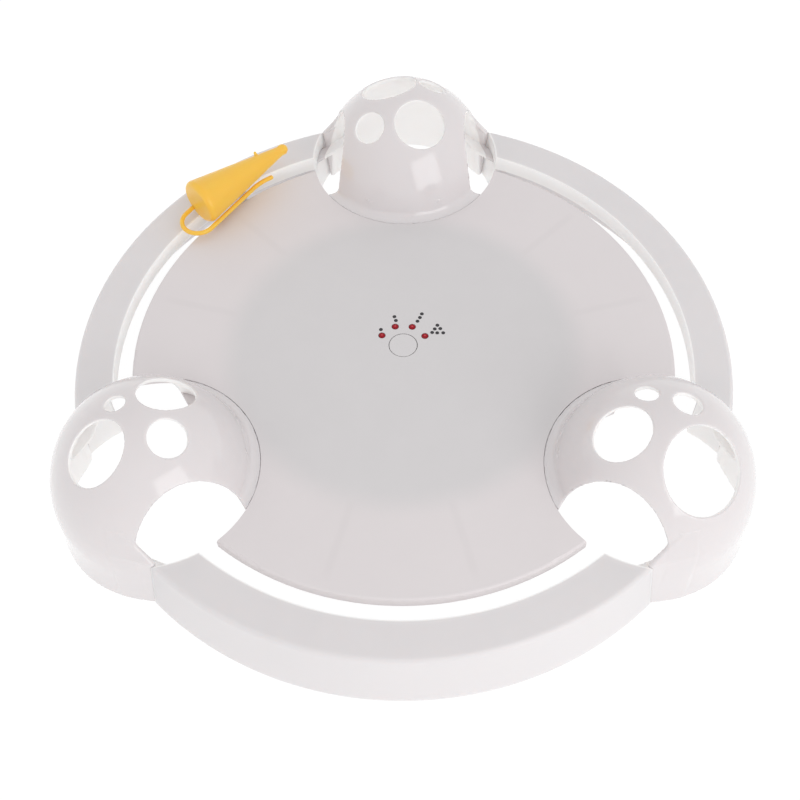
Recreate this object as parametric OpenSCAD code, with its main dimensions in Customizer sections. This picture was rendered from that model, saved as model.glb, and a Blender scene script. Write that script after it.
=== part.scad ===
// Mouse turntable cat toy. A round deck and a ring in three arcs leave a track between them.
// Three domed tunnels bridge the track, and a motor under the deck drives a mouse round it.
// The floor is z = 0, the turning axis is z, and the back dome stands on the +y side.

/* [Deck and ring] */
// Height of the deck and ring tops above the floor
deck_height = 33.5; // [30:0.5:42]
// Radius of the round deck
deck_radius = 120.2; // [112:0.2:130]
// Width of the open track between deck and ring
track_gap = 8; // [6:0.5:12]
// Width of the flat ring top
ring_width = 17; // [12:0.2:24]
// How far the ring wall leans out at the floor
ring_flare = 3.2; // [0:0.2:6]
// Radius of the rounded outer edge of the ring
ring_edge = 2.2; // [1:0.2:5]
// Moulded sheet thickness of deck, ring and drum
sheet = 2.4; // [1.8:0.1:3]
// Depth of the rim that hangs from the deck edge
rim_depth = 5; // [3:0.5:8]

/* [Domes] */
// How far the dome axes lie inside the track centre line
dome_inset = 3.2; // [0:0.2:6]
// Radius of a dome at the floor
dome_foot_radius = 44.7; // [43:0.1:50]
// Radius of a dome where its cap begins
dome_cap_radius = 43.3; // [40:0.1:46]
// Height where the dome cap begins
dome_cap_start = 20; // [10:1:26]
// Height of the dome top
dome_height = 73; // [66:1:90]
// Height of the point that the paw holes aim at
paw_focus = 37; // [30:1:44]
// Thickness of the dome shell
dome_wall = 2.2; // [1.6:0.1:3]
// How far the dome collar stands out from the shell
collar_reach = 3.6; // [2.6:0.2:5]
// Width of the tunnel through a dome
tunnel_width = 49; // [44:0.5:56]
// Height of the tunnel at its top
tunnel_height = 58.5; // [54:0.5:64]
// Height where the tunnel sides begin to curve
tunnel_spring = 24; // [16:1:30]
// Offset of the tunnel's middle from the dome axis
tunnel_shift = -2; // [-5:0.5:3]

/* [Mouse] */
// Bearing of the mouse at rest, counted from +x
rest_bearing = 130; // [115:0.5:145]
// Turn of the mouse on its post
mouse_turn = 3.5; // [0:0.5:6]
// Length of the mouse without its nose ball
mouse_length = 52.5; // [40:0.5:60]
// Radius of the mouse at its rear
mouse_radius = 10.8; // [8:0.1:11]
// Radius of the nose ball
nose_radius = 2.5; // [2:0.1:4]
// Gap between the mouse's belly and the deck
mouse_lift = 0.9; // [0.6:0.1:2]
// Radius of the tail
tail_radius = 1.1; // [0.8:0.1:1.4]
// Radius of the tail's loop
tail_loop = 8; // [6:0.2:10]
// Radius of the post that carries the mouse
post_radius = 2; // [1.5:0.1:2.5]
// Thickness of the arm that carries the post
arm_thickness = 4; // [3:0.2:6]
// Width of the arm at its outer end
arm_width = 9; // [7:0.5:14]

/* [Drum and drive] */
// Outer radius of the fixed drum
drum_radius = 66; // [65:0.5:70]
// Radius of the drum's foot and of its top flange
flange_radius = 77; // [76:0.5:82]
// Thickness of the drum floor
floor_thickness = 3.2; // [2.6:0.2:4]
// Radial wall of the turning ring behind its teeth
rotor_wall = 4.4; // [3:0.2:6]
// Tooth module of the turning ring and its drive gear
ring_module = 1.5; // [1.5:0.1:1.6]
// Teeth on the drive gear
drive_teeth = 24; // [22:1:24]
// Tooth module of the small gears
fine_module = 0.6; // [0.6:0.01:0.65]
// Teeth on the wheel above the drive gear
wheel_teeth = 36; // [34:1:38]
// Teeth on the first wheel
first_teeth = 48; // [48:1:54]
// Teeth on each small pinion
pinion_teeth = 10; // [10:1:12]
// Radius of the motor can
motor_radius = 11.2; // [9:0.1:11.4]
// Height of the motor can
motor_height = 12.4; // [10:0.2:13]
// Radius of a battery cell
cell_radius = 7.2; // [6.8:0.1:7.3]
// Length of a battery cell with its nub
cell_length = 50.4; // [48:0.2:51]
// Thickness of the battery door
door_thickness = 1.6; // [1.2:0.1:2]
// How far the battery door drops when it is taken off
door_travel = 12; // [5:1:20]

/* [Panel] */
// Offset of the button from the deck centre, towards the back dome
panel_offset = 2.9; // [0:0.1:4]
// Radius of the push button
button_radius = 6.2; // [5:0.1:7]
// Travel of the push button
button_travel = 0.8; // [0.4:0.1:1]
// Radius of the arc that the lamps stand on
lamp_arc = 11; // [10:0.2:13]
// Radius of a lamp
lamp_radius = 1.5; // [1.2:0.1:2]
// Thickness of the circuit board
board_thickness = 1.6; // [1:0.1:2]
// Depth of the circuit board's face below the deck top
board_depth = 7; // [6.8:0.1:8]

/* [Fasteners] */
// Radius of a screw shank
screw_radius = 1.4; // [1.2:0.1:1.6]
// Radius of a screw head
screw_head = 2.7; // [2.4:0.1:3]
// Height of a screw head
head_height = 1.7; // [1.4:0.1:2]

/* [Clearances] */
// Gap between pieces that move past each other
fit_gap = 0.3; // [0.2:0.05:0.5]
// Radial gap of a shaft in its hole
run_gap = 0.06; // [0.02:0.01:0.1]
// Radial gap of a pin or screw that sits fast in its hole
press_gap = 0.01; // [0.005:0.005:0.02]

/* [Hidden] */
$fn = 96;
cut = 1;
dome_bearings = [90, 210, 330];
seat_height = deck_height - sheet;
track_radius = deck_radius + track_gap / 2;
ring_inner = deck_radius + track_gap;
ring_outer = ring_inner + ring_width;
dome_reach = track_radius - dome_inset;

dome_rise = dome_height - dome_cap_start;
tunnel_rise = tunnel_height - tunnel_spring;
tunnel_inner = tunnel_shift - tunnel_width / 2;
tunnel_outer = tunnel_shift + tunnel_width / 2;
collar_radius = dome_radius(deck_height) + collar_reach;
cutout_radius = collar_radius + fit_gap;
cheek_turn = 38;
cheek_inset = 0.2;
cheek_top = deck_height + 12;
cheek_top_turn = 52;

// Paw holes of each dome as lean from the vertical, bearing from outwards, length down the slope and width
back_holes = [[37, 129, 15, 15.5], [27, 209, 24, 24], [26, 31, 27, 27], [33, 315, 13, 13]];
left_holes = [[34, 10, 29, 24], [26.5, 123, 16, 16], [34, 208, 27, 22], [19, 288, 9.5, 8.5]];
right_holes = [[33, 220, 25, 23], [42, 335, 36, 34], [26, 148, 11, 8.5], [18.5, 74, 12, 12]];

// Screwed seats of the domes on the deck
boss_radius = screw_radius + 2;
pilot_radius = screw_radius + press_gap;
pilot_depth = 8;
through_radius = screw_radius + fit_gap;
dome_boss_reach = dome_radius(deck_height) - dome_wall - boss_radius + 0.8;
dome_boss_turns = [155, 205];
dome_boss_height = 9;
ledge_inner = dome_boss_reach - boss_radius - 1;
rim_lip = 1.8;
lip_depth = rim_depth - 0.6;

// Ears that carry the ring ends, with a knee so that they pass inside the ring wall
ear_drop = 7;
ear_top = seat_height - ear_drop;
ear_width = 5.4;
ear_boss_reach = cutout_radius + sheet + boss_radius + 1;
ear_boss_radius = (ring_inner + ring_outer) / 2 - 0.6;
ear_boss_u = (pow(ear_boss_radius, 2) - pow(dome_reach, 2) - pow(ear_boss_reach, 2)) / (2 * dome_reach);
ear_boss_t = sqrt(pow(ear_boss_reach, 2) - pow(ear_boss_u, 2));
ear_root_reach = dome_radius(ear_top) - ear_width / 2 - 0.4;
ear_root_turn = 49;
ear_root = [ear_root_reach * cos(ear_root_turn), ear_root_reach * sin(ear_root_turn)];
ear_knee = [tunnel_outer - 4.5, ear_root_reach * sin(62)];
ear_tip = [ear_boss_u, ear_boss_t];
ring_lip_depth = 8;

// Deck ribs run outwards at these bearings
rib_bearings = [15, 45, 135, 165, 255, 285];
rib_width = 2;
rib_depth = 3;

// Drum pillars that the deck is screwed down on
pillar_reach = drum_radius - 11.5;
pillar_bearings = [18, 162, 221, 319];
pillar_radius = screw_head + 1.5;
pillar_top = seat_height - 9;
pillar_shoulder = 4;

// Gear train, from the toothed ring inwards
ring_teeth = round(2 * (drum_radius + 3) / ring_module);
ring_pitch = ring_module * ring_teeth / 2;
drive_pitch = ring_module * drive_teeth / 2;
wheel_pitch = fine_module * wheel_teeth / 2;
first_pitch = fine_module * first_teeth / 2;
pinion_pitch = fine_module * pinion_teeth / 2;
drive_bearing = 90;
wheel_turn = 217;
first_turn = 207;
drive_at = polar(ring_pitch - drive_pitch, drive_bearing);
wheel_at = drive_at + polar(wheel_pitch + pinion_pitch, wheel_turn);
motor_at = wheel_at + polar(first_pitch + pinion_pitch, first_turn);
tooth_reach = 0.85;
tooth_root = 1.15;
tooth_share = 0.44;
flank_slope = tan(20);

// Levels of the turning ring and gears
rotor_bottom = floor_thickness + fit_gap;
rotor_land = 2.5;
rotor_face = 6.8;
teeth_bottom = rotor_bottom + rotor_land;
rotor_top = teeth_bottom + rotor_face;
rotor_radius = ring_pitch + tooth_root * ring_module + rotor_wall;
drive_bottom = teeth_bottom + 0.5;
drive_face = rotor_face - 0.8;
gear_face = 3;
wheel_bottom = drive_bottom + drive_face + 1.3;
first_bottom = wheel_bottom + gear_face + 1;
cover_bottom = first_bottom + gear_face + 1.5;
cover_thickness = 1.6;
cover_top = cover_bottom + cover_thickness;
drive_axle = 1.5;
wheel_axle = 1.1;
shaft_radius = 0.8;
axle_head = 1.8;
axle_head_height = 0.5;
cover_post = 2.8;
box_wall = 1.8;
drive_tip = drive_pitch + tooth_reach * ring_module;
first_tip = first_pitch + tooth_reach * fine_module;
post_points = [drive_at + polar(drive_tip + cover_post + 1.2, 345),
    wheel_at + polar(first_tip + cover_post + 1.2, 276),
    motor_at + polar(motor_radius + box_wall + cover_post - 0.5, 140)];

// Arm and mouse
tab_reach = 16;
tab_width = 18;
tab_thickness = 3;
arm_bottom = rotor_bottom + tab_thickness;
arm_root = rotor_radius + 5.5;
arm_screw_first = flange_radius + fit_gap + screw_head;
arm_screws_at = [arm_screw_first, arm_screw_first + 7.4];
arm_screw_length = 8;
arm_boss_height = 7;
arm_rib = 2;
post_boss_height = 6;
mouse_level = deck_height + mouse_lift + mouse_radius;
mouse_edge = 3;
nose_neck = 2.1;
mouse_front = mouse_length / 2 + 1;
mouse_rear = mouse_front - mouse_length;
tail_level = mouse_level - mouse_radius * 0.66;
tail_root_side = mouse_radius * 0.53;
tail_plug = 3;
tail_neck = 4.8;
tail_run = 31;
tail_lean = 11.5;
tail_tip_bend = 26;
tail_tip_turn = 25;
post_top = mouse_level;

// Batteries lie side by side in the front half of the drum
cell_pitch = 2 * cell_radius + 0.6;
cell_row = -33;
nub_radius = 2.75;
nub_height = 1.2;
contact_thickness = 0.6;
contact_width = 9;
box_length = cell_length + 2 * contact_thickness;
box_width = 3 * cell_pitch + 0.6;
box_height = 2 * cell_radius + 2;
door_margin = 2;
door_length = box_length + 2 * door_margin;
door_width = box_width + 2 * door_margin;
door_tab = [20, cell_row + door_width / 2 + 2];
door_tab_radius = 5;
door_recess = door_thickness + 0.2;
cell_level = door_recess + cell_radius + fit_gap;
door_screw_length = 8;

// Panel pieces hang below the deck
board_top = deck_height - board_depth;
board_bottom = board_top - board_thickness;
board_size = [44, 31.5];
board_centre = [0, 3.7];
board_posts = [[-18, -8], [18, -8], [-18, 15], [18, 15]];
board_post_radius = 2.8;
board_screw = 0.9;
board_pilot = 4;
lamp_turns = [27.5, 68.5, 109.5, 150.5];
lamp_flange = lamp_radius + 0.4;
lamp_proud = 0.4;
button_flange = button_radius + 1.4;
button_lip = 0.9;
switch_size = 6;
switch_height = 2;
plunger_radius = 1.7;
button_foot = seat_height - fit_gap - button_lip;
chip_size = [10, 7, 1.6];
chip_at = [6, -4];

function polar(reach, turn) = [reach * cos(turn), reach * sin(turn)];

// Outer radius of a dome's cap at a height
function dome_radius(height) = dome_cap_radius * sqrt(1 - pow((height - dome_cap_start) / dome_rise, 2));

// One tooth as root, tip, tip, root points about its middle
function tooth(index, teeth, size, reach, root, share) =
    let (pitch = size * teeth / 2,
        half = share * 180 / teeth,
        tip_half = half - flank_slope * reach * size / pitch * 180 / PI,
        root_half = half + flank_slope * root * size / pitch * 180 / PI,
        middle = index * 360 / teeth)
    [polar(pitch - root * size, middle - root_half), polar(pitch + reach * size, middle - tip_half),
        polar(pitch + reach * size, middle + tip_half), polar(pitch - root * size, middle + root_half)];

function tooth_ring(teeth, size, reach, root, share) =
    [for (i = [0 : teeth - 1]) each tooth(i, teeth, size, reach, root, share)];

// Upper right quarter of an ellipse
module quarter_ellipse(half_width, rise) {
    intersection() {
        scale([half_width, rise]) circle(r = 1);
        square([half_width + cut, rise + cut]);
    }
}

module at_dome(bearing) {
    rotate(bearing) translate([dome_reach, 0, 0]) children();
}

module at_each_dome() {
    for (bearing = dome_bearings) at_dome(bearing) children();
}

module at_arm() {
    rotate(rest_bearing) children();
}

// Mouse frame: x points along the mouse to its nose, y points out from the deck centre
module at_mouse() {
    rotate(rest_bearing) translate([track_radius, 0, 0]) rotate(mouse_turn - 90) children();
}

// Screw with its head below the origin and its shank rising from it
module screw(length, shank, head, height) {
    difference() {
        union() {
            translate([0, 0, -height]) cylinder(r = head, h = height);
            cylinder(r = shank, h = length - shank);
            translate([0, 0, length - shank]) cylinder(r1 = shank, r2 = shank / 3, h = shank);
        }
        for (turn = [0, 90]) rotate(turn) translate([-head * 0.6, -head * 0.12, -height - cut])
            cube([head * 1.2, head * 0.24, height * 0.55 + cut]);
    }
}

module ring_of(inner, outer, height) {
    difference() {
        cylinder(r = outer, h = height);
        translate([0, 0, -cut]) cylinder(r = inner, h = height + 2 * cut);
    }
}

// Deck outline with a rounded top edge and a hanging rim
module deck_side() {
    round_edge = sheet * 0.6;
    difference() {
        union() {
            translate([0, seat_height]) square([deck_radius, sheet - round_edge]);
            translate([0, seat_height]) square([deck_radius - round_edge, sheet]);
            translate([deck_radius - round_edge, deck_height - round_edge]) circle(r = round_edge, $fn = 32);
            translate([deck_radius - sheet, deck_height - rim_depth])
                square([sheet, rim_depth - round_edge]);
        }
        translate([-cut - deck_radius, 0]) square([deck_radius + cut, deck_height + cut]);
    }
}

module dome_cutouts(radius, bottom, height) {
    at_each_dome() translate([0, 0, bottom]) cylinder(r = radius, h = height);
}

// Ledge under a cut-out that the dome's inner foot is screwed to
module dome_ledge() {
    intersection() {
        translate([0, 0, seat_height - sheet]) ring_of(ledge_inner, cutout_radius + rim_lip, sheet);
        translate([-2 * cutout_radius, -cutout_radius * 2, 0])
            cube([2 * cutout_radius + tunnel_inner, 4 * cutout_radius, deck_height]);
    }
}

module dome_boss_places() {
    for (turn = dome_boss_turns) rotate(turn) translate([dome_boss_reach, 0, 0]) children();
}

module centre_deck() {
    color("gainsboro") difference() {
        union() {
            difference() {
                union() {
                    rotate_extrude() deck_side();
                    intersection() {
                        at_each_dome() translate([0, 0, deck_height - lip_depth])
                            cylinder(r = cutout_radius + rim_lip, h = lip_depth - sheet / 2);
                        cylinder(r = deck_radius - sheet / 2, h = deck_height);
                    }
                    for (bearing = rib_bearings) rotate(bearing)
                        translate([flange_radius + 2, -rib_width / 2, seat_height - rib_depth])
                            cube([deck_radius - flange_radius - 3, rib_width, rib_depth + cut]);
                }
                dome_cutouts(cutout_radius, 0, deck_height + cut);
            }
            at_each_dome() dome_ledge();
            for (bearing = pillar_bearings) rotate(bearing) translate([pillar_reach, 0, pillar_top])
                cylinder(r = boss_radius, h = seat_height - pillar_top + cut);
            for (place = board_posts) translate([place[0], place[1], board_top])
                cylinder(r = board_post_radius, h = seat_height - board_top + cut);
        }
        at_each_dome() dome_boss_places() translate([0, 0, seat_height - sheet - cut])
            cylinder(r = through_radius, h = sheet + 2 * cut);
        for (bearing = pillar_bearings) rotate(bearing) translate([pillar_reach, 0, pillar_top - cut])
            cylinder(r = pilot_radius, h = pilot_depth + cut);
        for (place = board_posts) translate([place[0], place[1], board_top - cut])
            cylinder(r = board_screw + press_gap, h = board_pilot + cut);
        translate([0, panel_offset, seat_height - cut])
            cylinder(r = button_radius + fit_gap, h = sheet + 2 * cut);
        lamp_places() translate([0, 0, seat_height - cut])
            cylinder(r = lamp_radius + fit_gap / 2, h = sheet + 2 * cut);
    }
}

// Outer section of the ring with its rounded edge
module ring_side() {
    lean = ring_flare / deck_height;
    edge_at = [ring_outer + lean * ring_edge - ring_edge, deck_height - ring_edge];
    polygon(concat([[ring_inner, 0], [ring_outer + ring_flare, 0]],
        [for (turn = [0 : 15 : 90]) edge_at + polar(ring_edge, turn)], [[ring_inner, deck_height]]));
}

// Hollow of the ring, open to the floor
module ring_hollow() {
    lean = ring_flare / deck_height;
    outside = ring_outer - sheet;
    polygon([[ring_inner + sheet, -cut], [outside + ring_flare + lean * cut, -cut],
        [outside + lean * sheet, seat_height], [ring_inner + sheet, seat_height]]);
}

// Ear of a dome's outer leg in the dome's frame, on the side given by its sign
module ear_outline(grow) {
    first = ear_knee - ear_root;
    second = ear_tip - ear_knee;
    translate(ear_root) rotate(atan2(first[1], first[0]))
        translate([0, -ear_width / 2 - grow]) square([norm(first), ear_width + 2 * grow]);
    translate(ear_knee) circle(d = ear_width + 2 * grow);
    translate(ear_knee) rotate(atan2(second[1], second[0]))
        translate([0, -ear_width / 2 - grow]) square([norm(second), ear_width + 2 * grow]);
    translate(ear_tip) circle(r = boss_radius + grow);
}

module dome_side_of(side) {
    if (side > 0) children();
    else mirror([0, 1, 0]) children();
}

// Ring arc that runs from the dome at the first bearing to the next dome
module ring_arc(first) {
    ends = [[first, 1], [first + 120, -1]];
    color("whitesmoke") difference() {
        union() {
            difference() {
                rotate(first) rotate_extrude(angle = 120) ring_side();
                for (end = ends) at_dome(end[0]) translate([0, 0, -cut])
                    cylinder(r = cutout_radius, h = deck_height + 2 * cut);
                difference() {
                    rotate(first) rotate_extrude(angle = 120) ring_hollow();
                    for (end = ends) at_dome(end[0]) translate([0, 0, -2 * cut])
                        cylinder(r = cutout_radius + sheet, h = deck_height + 4 * cut);
                }
                rotate(first) rotate_extrude(angle = 120) translate([ring_inner - cut, -cut])
                    square([sheet + 2 * cut, deck_height - ring_lip_depth + cut]);
            }
            for (end = ends) at_dome(end[0]) dome_side_of(end[1])
                translate([ear_tip[0], ear_tip[1], ear_top])
                    cylinder(r = boss_radius, h = ear_drop + sheet / 2);
            for (turn = [45, 75]) rotate(first + turn)
                translate([ring_inner + sheet / 2, -rib_width / 2, seat_height - rib_depth])
                    cube([ring_width - sheet, rib_width, rib_depth + sheet / 2]);
        }
        for (end = ends) at_dome(end[0]) dome_side_of(end[1]) {
            translate([0, 0, ear_top - sheet - fit_gap])
                linear_extrude(sheet + fit_gap) ear_outline(fit_gap);
            translate([ear_tip[0], ear_tip[1], ear_top - cut])
                cylinder(r = pilot_radius, h = ear_drop - 1 + cut);
        }
    }
}

module ring_front() {
    ring_arc(210);
}

module ring_right() {
    ring_arc(330);
}

module ring_left() {
    ring_arc(90);
}

module dome_outline(inset, below) {
    polygon([[0, -below], [dome_foot_radius - inset, -below], [dome_foot_radius - inset, 0],
        [dome_cap_radius - inset, dome_cap_start], [0, dome_cap_start]]);
    translate([0, dome_cap_start]) quarter_ellipse(dome_cap_radius - inset, dome_rise - inset);
}

module tunnel_outline() {
    translate([tunnel_inner, -cut]) square([tunnel_width, tunnel_spring + cut]);
    translate([tunnel_shift, tunnel_spring]) intersection() {
        scale([tunnel_width / 2, tunnel_rise]) circle(r = 1);
        translate([-tunnel_width, -cut]) square([2 * tunnel_width, tunnel_rise + 2 * cut]);
    }
}

module tunnel_bore() {
    rotate([90, 0, 0]) linear_extrude(4 * dome_foot_radius, center = true) tunnel_outline();
}

// Collar where a dome's inner foot meets the deck
module dome_collar() {
    hollow = collar_reach * 0.8;
    intersection() {
        rotate_extrude() difference() {
            translate([dome_radius(deck_height) - dome_wall / 2, seat_height])
                square([collar_reach + dome_wall / 2, sheet + hollow]);
            translate([collar_radius, deck_height + hollow]) circle(r = hollow);
        }
        translate([-2 * dome_foot_radius, -2 * dome_foot_radius, 0])
            cube([2 * dome_foot_radius, 4 * dome_foot_radius, dome_height]);
    }
}

// Point of a ring end where the collar circle crosses a circle about the deck centre
function ring_corner(radius) =
    let (across = (pow(radius, 2) - pow(dome_reach, 2) - pow(collar_radius, 2)) / (2 * dome_reach))
    [across, sqrt(pow(collar_radius, 2) - pow(across, 2))];

// Section of a cheek that runs from the dome's outer leg to the corner of a ring end
module cheek_outline(leg_radius, corner_radius) {
    polygon([polar(leg_radius - dome_wall / 2, cheek_turn), polar(leg_radius - cheek_inset, cheek_turn),
        ring_corner(corner_radius), ring_corner(corner_radius - sheet)]);
}

// Cheek that closes the space between leg and ring, and slopes up the leg above the deck
module leg_cheek() {
    slice = 0.1;
    cheek_top_radius = dome_radius(cheek_top);
    hull() {
        linear_extrude(slice) cheek_outline(dome_foot_radius, ring_outer + ring_flare);
        translate([0, 0, deck_height - slice]) linear_extrude(slice)
            cheek_outline(dome_radius(deck_height), ring_outer);
        translate([0, 0, cheek_top - slice]) linear_extrude(slice) polygon([
            polar(cheek_top_radius - dome_wall / 2, cheek_turn),
            polar(cheek_top_radius - cheek_inset, cheek_turn),
            polar(cheek_top_radius - cheek_inset, cheek_top_turn),
            polar(cheek_top_radius - dome_wall / 2, cheek_top_turn)]);
    }
}

module dome_piece(bearing, holes) {
    color("white") at_dome(bearing) difference() {
        union() {
            difference() {
                union() {
                    rotate_extrude() difference() {
                        dome_outline(0, 0);
                        dome_outline(dome_wall, cut);
                    }
                    dome_collar();
                }
                tunnel_bore();
                translate([-2 * dome_foot_radius, -2 * dome_foot_radius, -cut])
                    cube([2 * dome_foot_radius, 4 * dome_foot_radius, seat_height + cut]);
            }
            dome_boss_places() translate([0, 0, seat_height])
                cylinder(r = boss_radius, h = dome_boss_height);
            for (side = [1, -1]) dome_side_of(side) {
                leg_cheek();
                translate([0, 0, ear_top - sheet]) linear_extrude(sheet) ear_outline(0);
            }
        }
        for (hole = holes) translate([0, 0, paw_focus]) rotate([0, hole[0], hole[1]])
            linear_extrude(dome_height) scale([hole[2], hole[3]]) circle(d = 1);
        dome_boss_places() translate([0, 0, seat_height - cut])
            cylinder(r = pilot_radius, h = dome_boss_height - 2 + cut);
        for (side = [1, -1]) dome_side_of(side) translate([ear_tip[0], ear_tip[1], ear_top - sheet - cut])
            cylinder(r = through_radius, h = sheet + 2 * cut);
    }
}

module dome_back() {
    dome_piece(90, back_holes);
}

module dome_left() {
    dome_piece(210, left_holes);
}

module dome_right() {
    dome_piece(330, right_holes);
}

module pillar_places() {
    for (bearing = pillar_bearings) rotate(bearing) translate([pillar_reach, 0, 0]) children();
}

module lamp_places() {
    for (turn = lamp_turns) translate([0, panel_offset, 0]) rotate(turn)
        translate([lamp_arc, 0, 0]) children();
}

module battery_box_walls() {
    translate([-box_length / 2 - box_wall, cell_row - box_width / 2 - box_wall, floor_thickness - cut])
        difference() {
            cube([box_length + 2 * box_wall, box_width + 2 * box_wall, box_height + cut]);
            translate([box_wall, box_wall, -cut]) cube([box_length, box_width, box_height + 3 * cut]);
        }
}

module door_outline(grow) {
    translate([-door_length / 2 - grow, cell_row - door_width / 2 - grow])
        square([door_length + 2 * grow, door_width + 2 * grow]);
    translate(door_tab) circle(r = door_tab_radius + grow);
}

module base_drum() {
    color("lightgrey") difference() {
        union() {
            cylinder(r = flange_radius, h = floor_thickness);
            ring_of(drum_radius - sheet, drum_radius, seat_height);
            difference() {
                translate([0, 0, seat_height - sheet]) ring_of(drum_radius - sheet, flange_radius, sheet);
                dome_cutouts(cutout_radius + rim_lip + 1, 0, deck_height);
            }
            pillar_places() cylinder(r = pillar_radius, h = pillar_top);
            intersection() {
                battery_box_walls();
                cylinder(r = drum_radius - sheet / 2, h = deck_height);
            }
            translate([drive_at[0], drive_at[1], 0]) cylinder(r = 3.6, h = drive_bottom - fit_gap);
            translate([motor_at[0], motor_at[1], 0])
                ring_of(motor_radius + 0.1, motor_radius + box_wall, floor_thickness + motor_height / 2);
            for (place = post_points) translate([place[0], place[1], 0])
                cylinder(r = cover_post, h = cover_bottom);
            translate([door_tab[0], door_tab[1], 0]) cylinder(r = boss_radius, h = floor_thickness + 8);
        }
        translate([drive_at[0], drive_at[1], drive_bottom - fit_gap])
            cylinder(r = drive_tip + 0.8, h = drive_face + 2 * fit_gap);
        translate([-box_length / 2, cell_row - box_width / 2, -cut])
            cube([box_length, box_width, floor_thickness + 2 * cut]);
        translate([0, 0, -cut]) linear_extrude(door_recess + cut) door_outline(fit_gap);
        translate([door_tab[0], door_tab[1], -cut])
            cylinder(r = pilot_radius, h = floor_thickness + door_screw_length - 1 + cut);
        pillar_places() {
            translate([0, 0, -cut]) cylinder(r = screw_head + 0.2, h = pillar_top - pillar_shoulder + cut);
            cylinder(r = through_radius, h = pillar_top + cut);
        }
        translate([drive_at[0], drive_at[1], floor_thickness / 2])
            cylinder(r = drive_axle + press_gap, h = deck_height);
        for (place = post_points) translate([place[0], place[1], cover_bottom - 8])
            cylinder(r = pilot_radius, h = pilot_depth + cut);
    }
}

module battery_door() {
    color("lightgrey") difference() {
        translate([0, 0, door_recess - door_thickness]) linear_extrude(door_thickness) door_outline(0);
        translate([door_tab[0], door_tab[1], -cut]) cylinder(r = pilot_radius, h = door_recess + 2 * cut);
        translate([door_tab[0], door_tab[1], -cut])
            cylinder(r = screw_head + 0.1, h = door_recess - door_thickness / 2 + cut);
        for (step = [-2 : 2]) translate([-door_length / 4, cell_row + step * 3 - 0.5, -cut])
            cube([door_length / 2, 1, door_recess - door_thickness + 0.4 + cut]);
    }
}

module door_screw() {
    color("silver") translate([door_tab[0], door_tab[1], door_recess - door_thickness / 2])
        screw(door_screw_length, screw_radius, screw_head, door_thickness / 2);
}

module battery_cells() {
    color("dimgray") for (row = [-1 : 1]) translate([0, cell_row + row * cell_pitch, cell_level])
        rotate([0, row == 0 ? -90 : 90, 0]) translate([0, 0, -cell_length / 2]) {
            cylinder(r = cell_radius, h = cell_length - nub_height);
            cylinder(r = nub_radius, h = cell_length);
        }
}

module battery_contacts() {
    color("silver") for (row = [-1 : 1], side = [1, -1])
        translate([side * (cell_length + contact_thickness) / 2, cell_row + row * cell_pitch, cell_level])
            cube([contact_thickness, contact_width, contact_width], center = true);
}

module motor_can() {
    color("silver") translate([motor_at[0], motor_at[1], floor_thickness]) difference() {
        union() {
            cylinder(r = motor_radius, h = motor_height);
            cylinder(r = 3, h = motor_height + 1);
        }
        translate([0, 0, motor_height - 4]) cylinder(r = shaft_radius + run_gap, h = 6);
    }
}

module motor_shaft() {
    color("silver") translate([motor_at[0], motor_at[1], floor_thickness + motor_height - 3.7])
        cylinder(r = shaft_radius, h = cover_bottom - fit_gap - floor_thickness - motor_height + 3.7);
}

// Spur gear with a tooth on the given bearing, or a space where the flag says so
module gear_outline(teeth, size, bearing, space) {
    rotate(bearing + (space ? 180 / teeth : 0))
        polygon(tooth_ring(teeth, size, tooth_reach, tooth_root, tooth_share));
}

module motor_pinion() {
    color("gold") translate([motor_at[0], motor_at[1], first_bottom - fit_gap]) difference() {
        linear_extrude(gear_face + 2 * fit_gap)
            gear_outline(pinion_teeth, fine_module, first_turn + 180, false);
        translate([0, 0, -cut]) cylinder(r = shaft_radius + press_gap, h = gear_face + 3 * cut);
    }
}

module first_gear() {
    color("white") translate([wheel_at[0], wheel_at[1], 0]) difference() {
        union() {
            translate([0, 0, wheel_bottom]) linear_extrude(first_bottom - wheel_bottom + gear_face / 2)
                gear_outline(pinion_teeth, fine_module, wheel_turn + 180, false);
            translate([0, 0, first_bottom]) linear_extrude(gear_face)
                gear_outline(first_teeth, fine_module, first_turn, true);
        }
        translate([0, 0, wheel_bottom - cut])
            cylinder(r = wheel_axle + run_gap, h = first_bottom + gear_face - wheel_bottom + 2 * cut);
        translate([0, 0, first_bottom + gear_face - 0.8]) ring_of(pinion_pitch + 1.5, first_pitch - 2, cut);
    }
}

module drive_gear() {
    color("white") translate([drive_at[0], drive_at[1], 0]) difference() {
        union() {
            translate([0, 0, drive_bottom]) linear_extrude(drive_face)
                gear_outline(drive_teeth, ring_module, drive_bearing, false);
            translate([0, 0, drive_bottom])
                cylinder(r = drive_axle + 2, h = wheel_bottom - drive_bottom + gear_face / 2);
            translate([0, 0, wheel_bottom]) linear_extrude(gear_face)
                gear_outline(wheel_teeth, fine_module, wheel_turn, true);
        }
        translate([0, 0, drive_bottom - cut])
            cylinder(r = drive_axle + run_gap, h = wheel_bottom + gear_face - drive_bottom + 2 * cut);
        translate([0, 0, drive_bottom - cut]) ring_of(drive_axle + 3.5, drive_pitch - 4, 1.5 + cut);
    }
}

module gear_axles() {
    color("silver") {
        translate([drive_at[0], drive_at[1], floor_thickness / 2])
            cylinder(r = drive_axle, h = first_bottom - fit_gap - floor_thickness / 2);
        translate([wheel_at[0], wheel_at[1], wheel_bottom - fit_gap - axle_head_height]) {
            cylinder(r = axle_head, h = axle_head_height);
            cylinder(r = wheel_axle, h = cover_top - wheel_bottom + fit_gap + axle_head_height);
        }
    }
}

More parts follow.
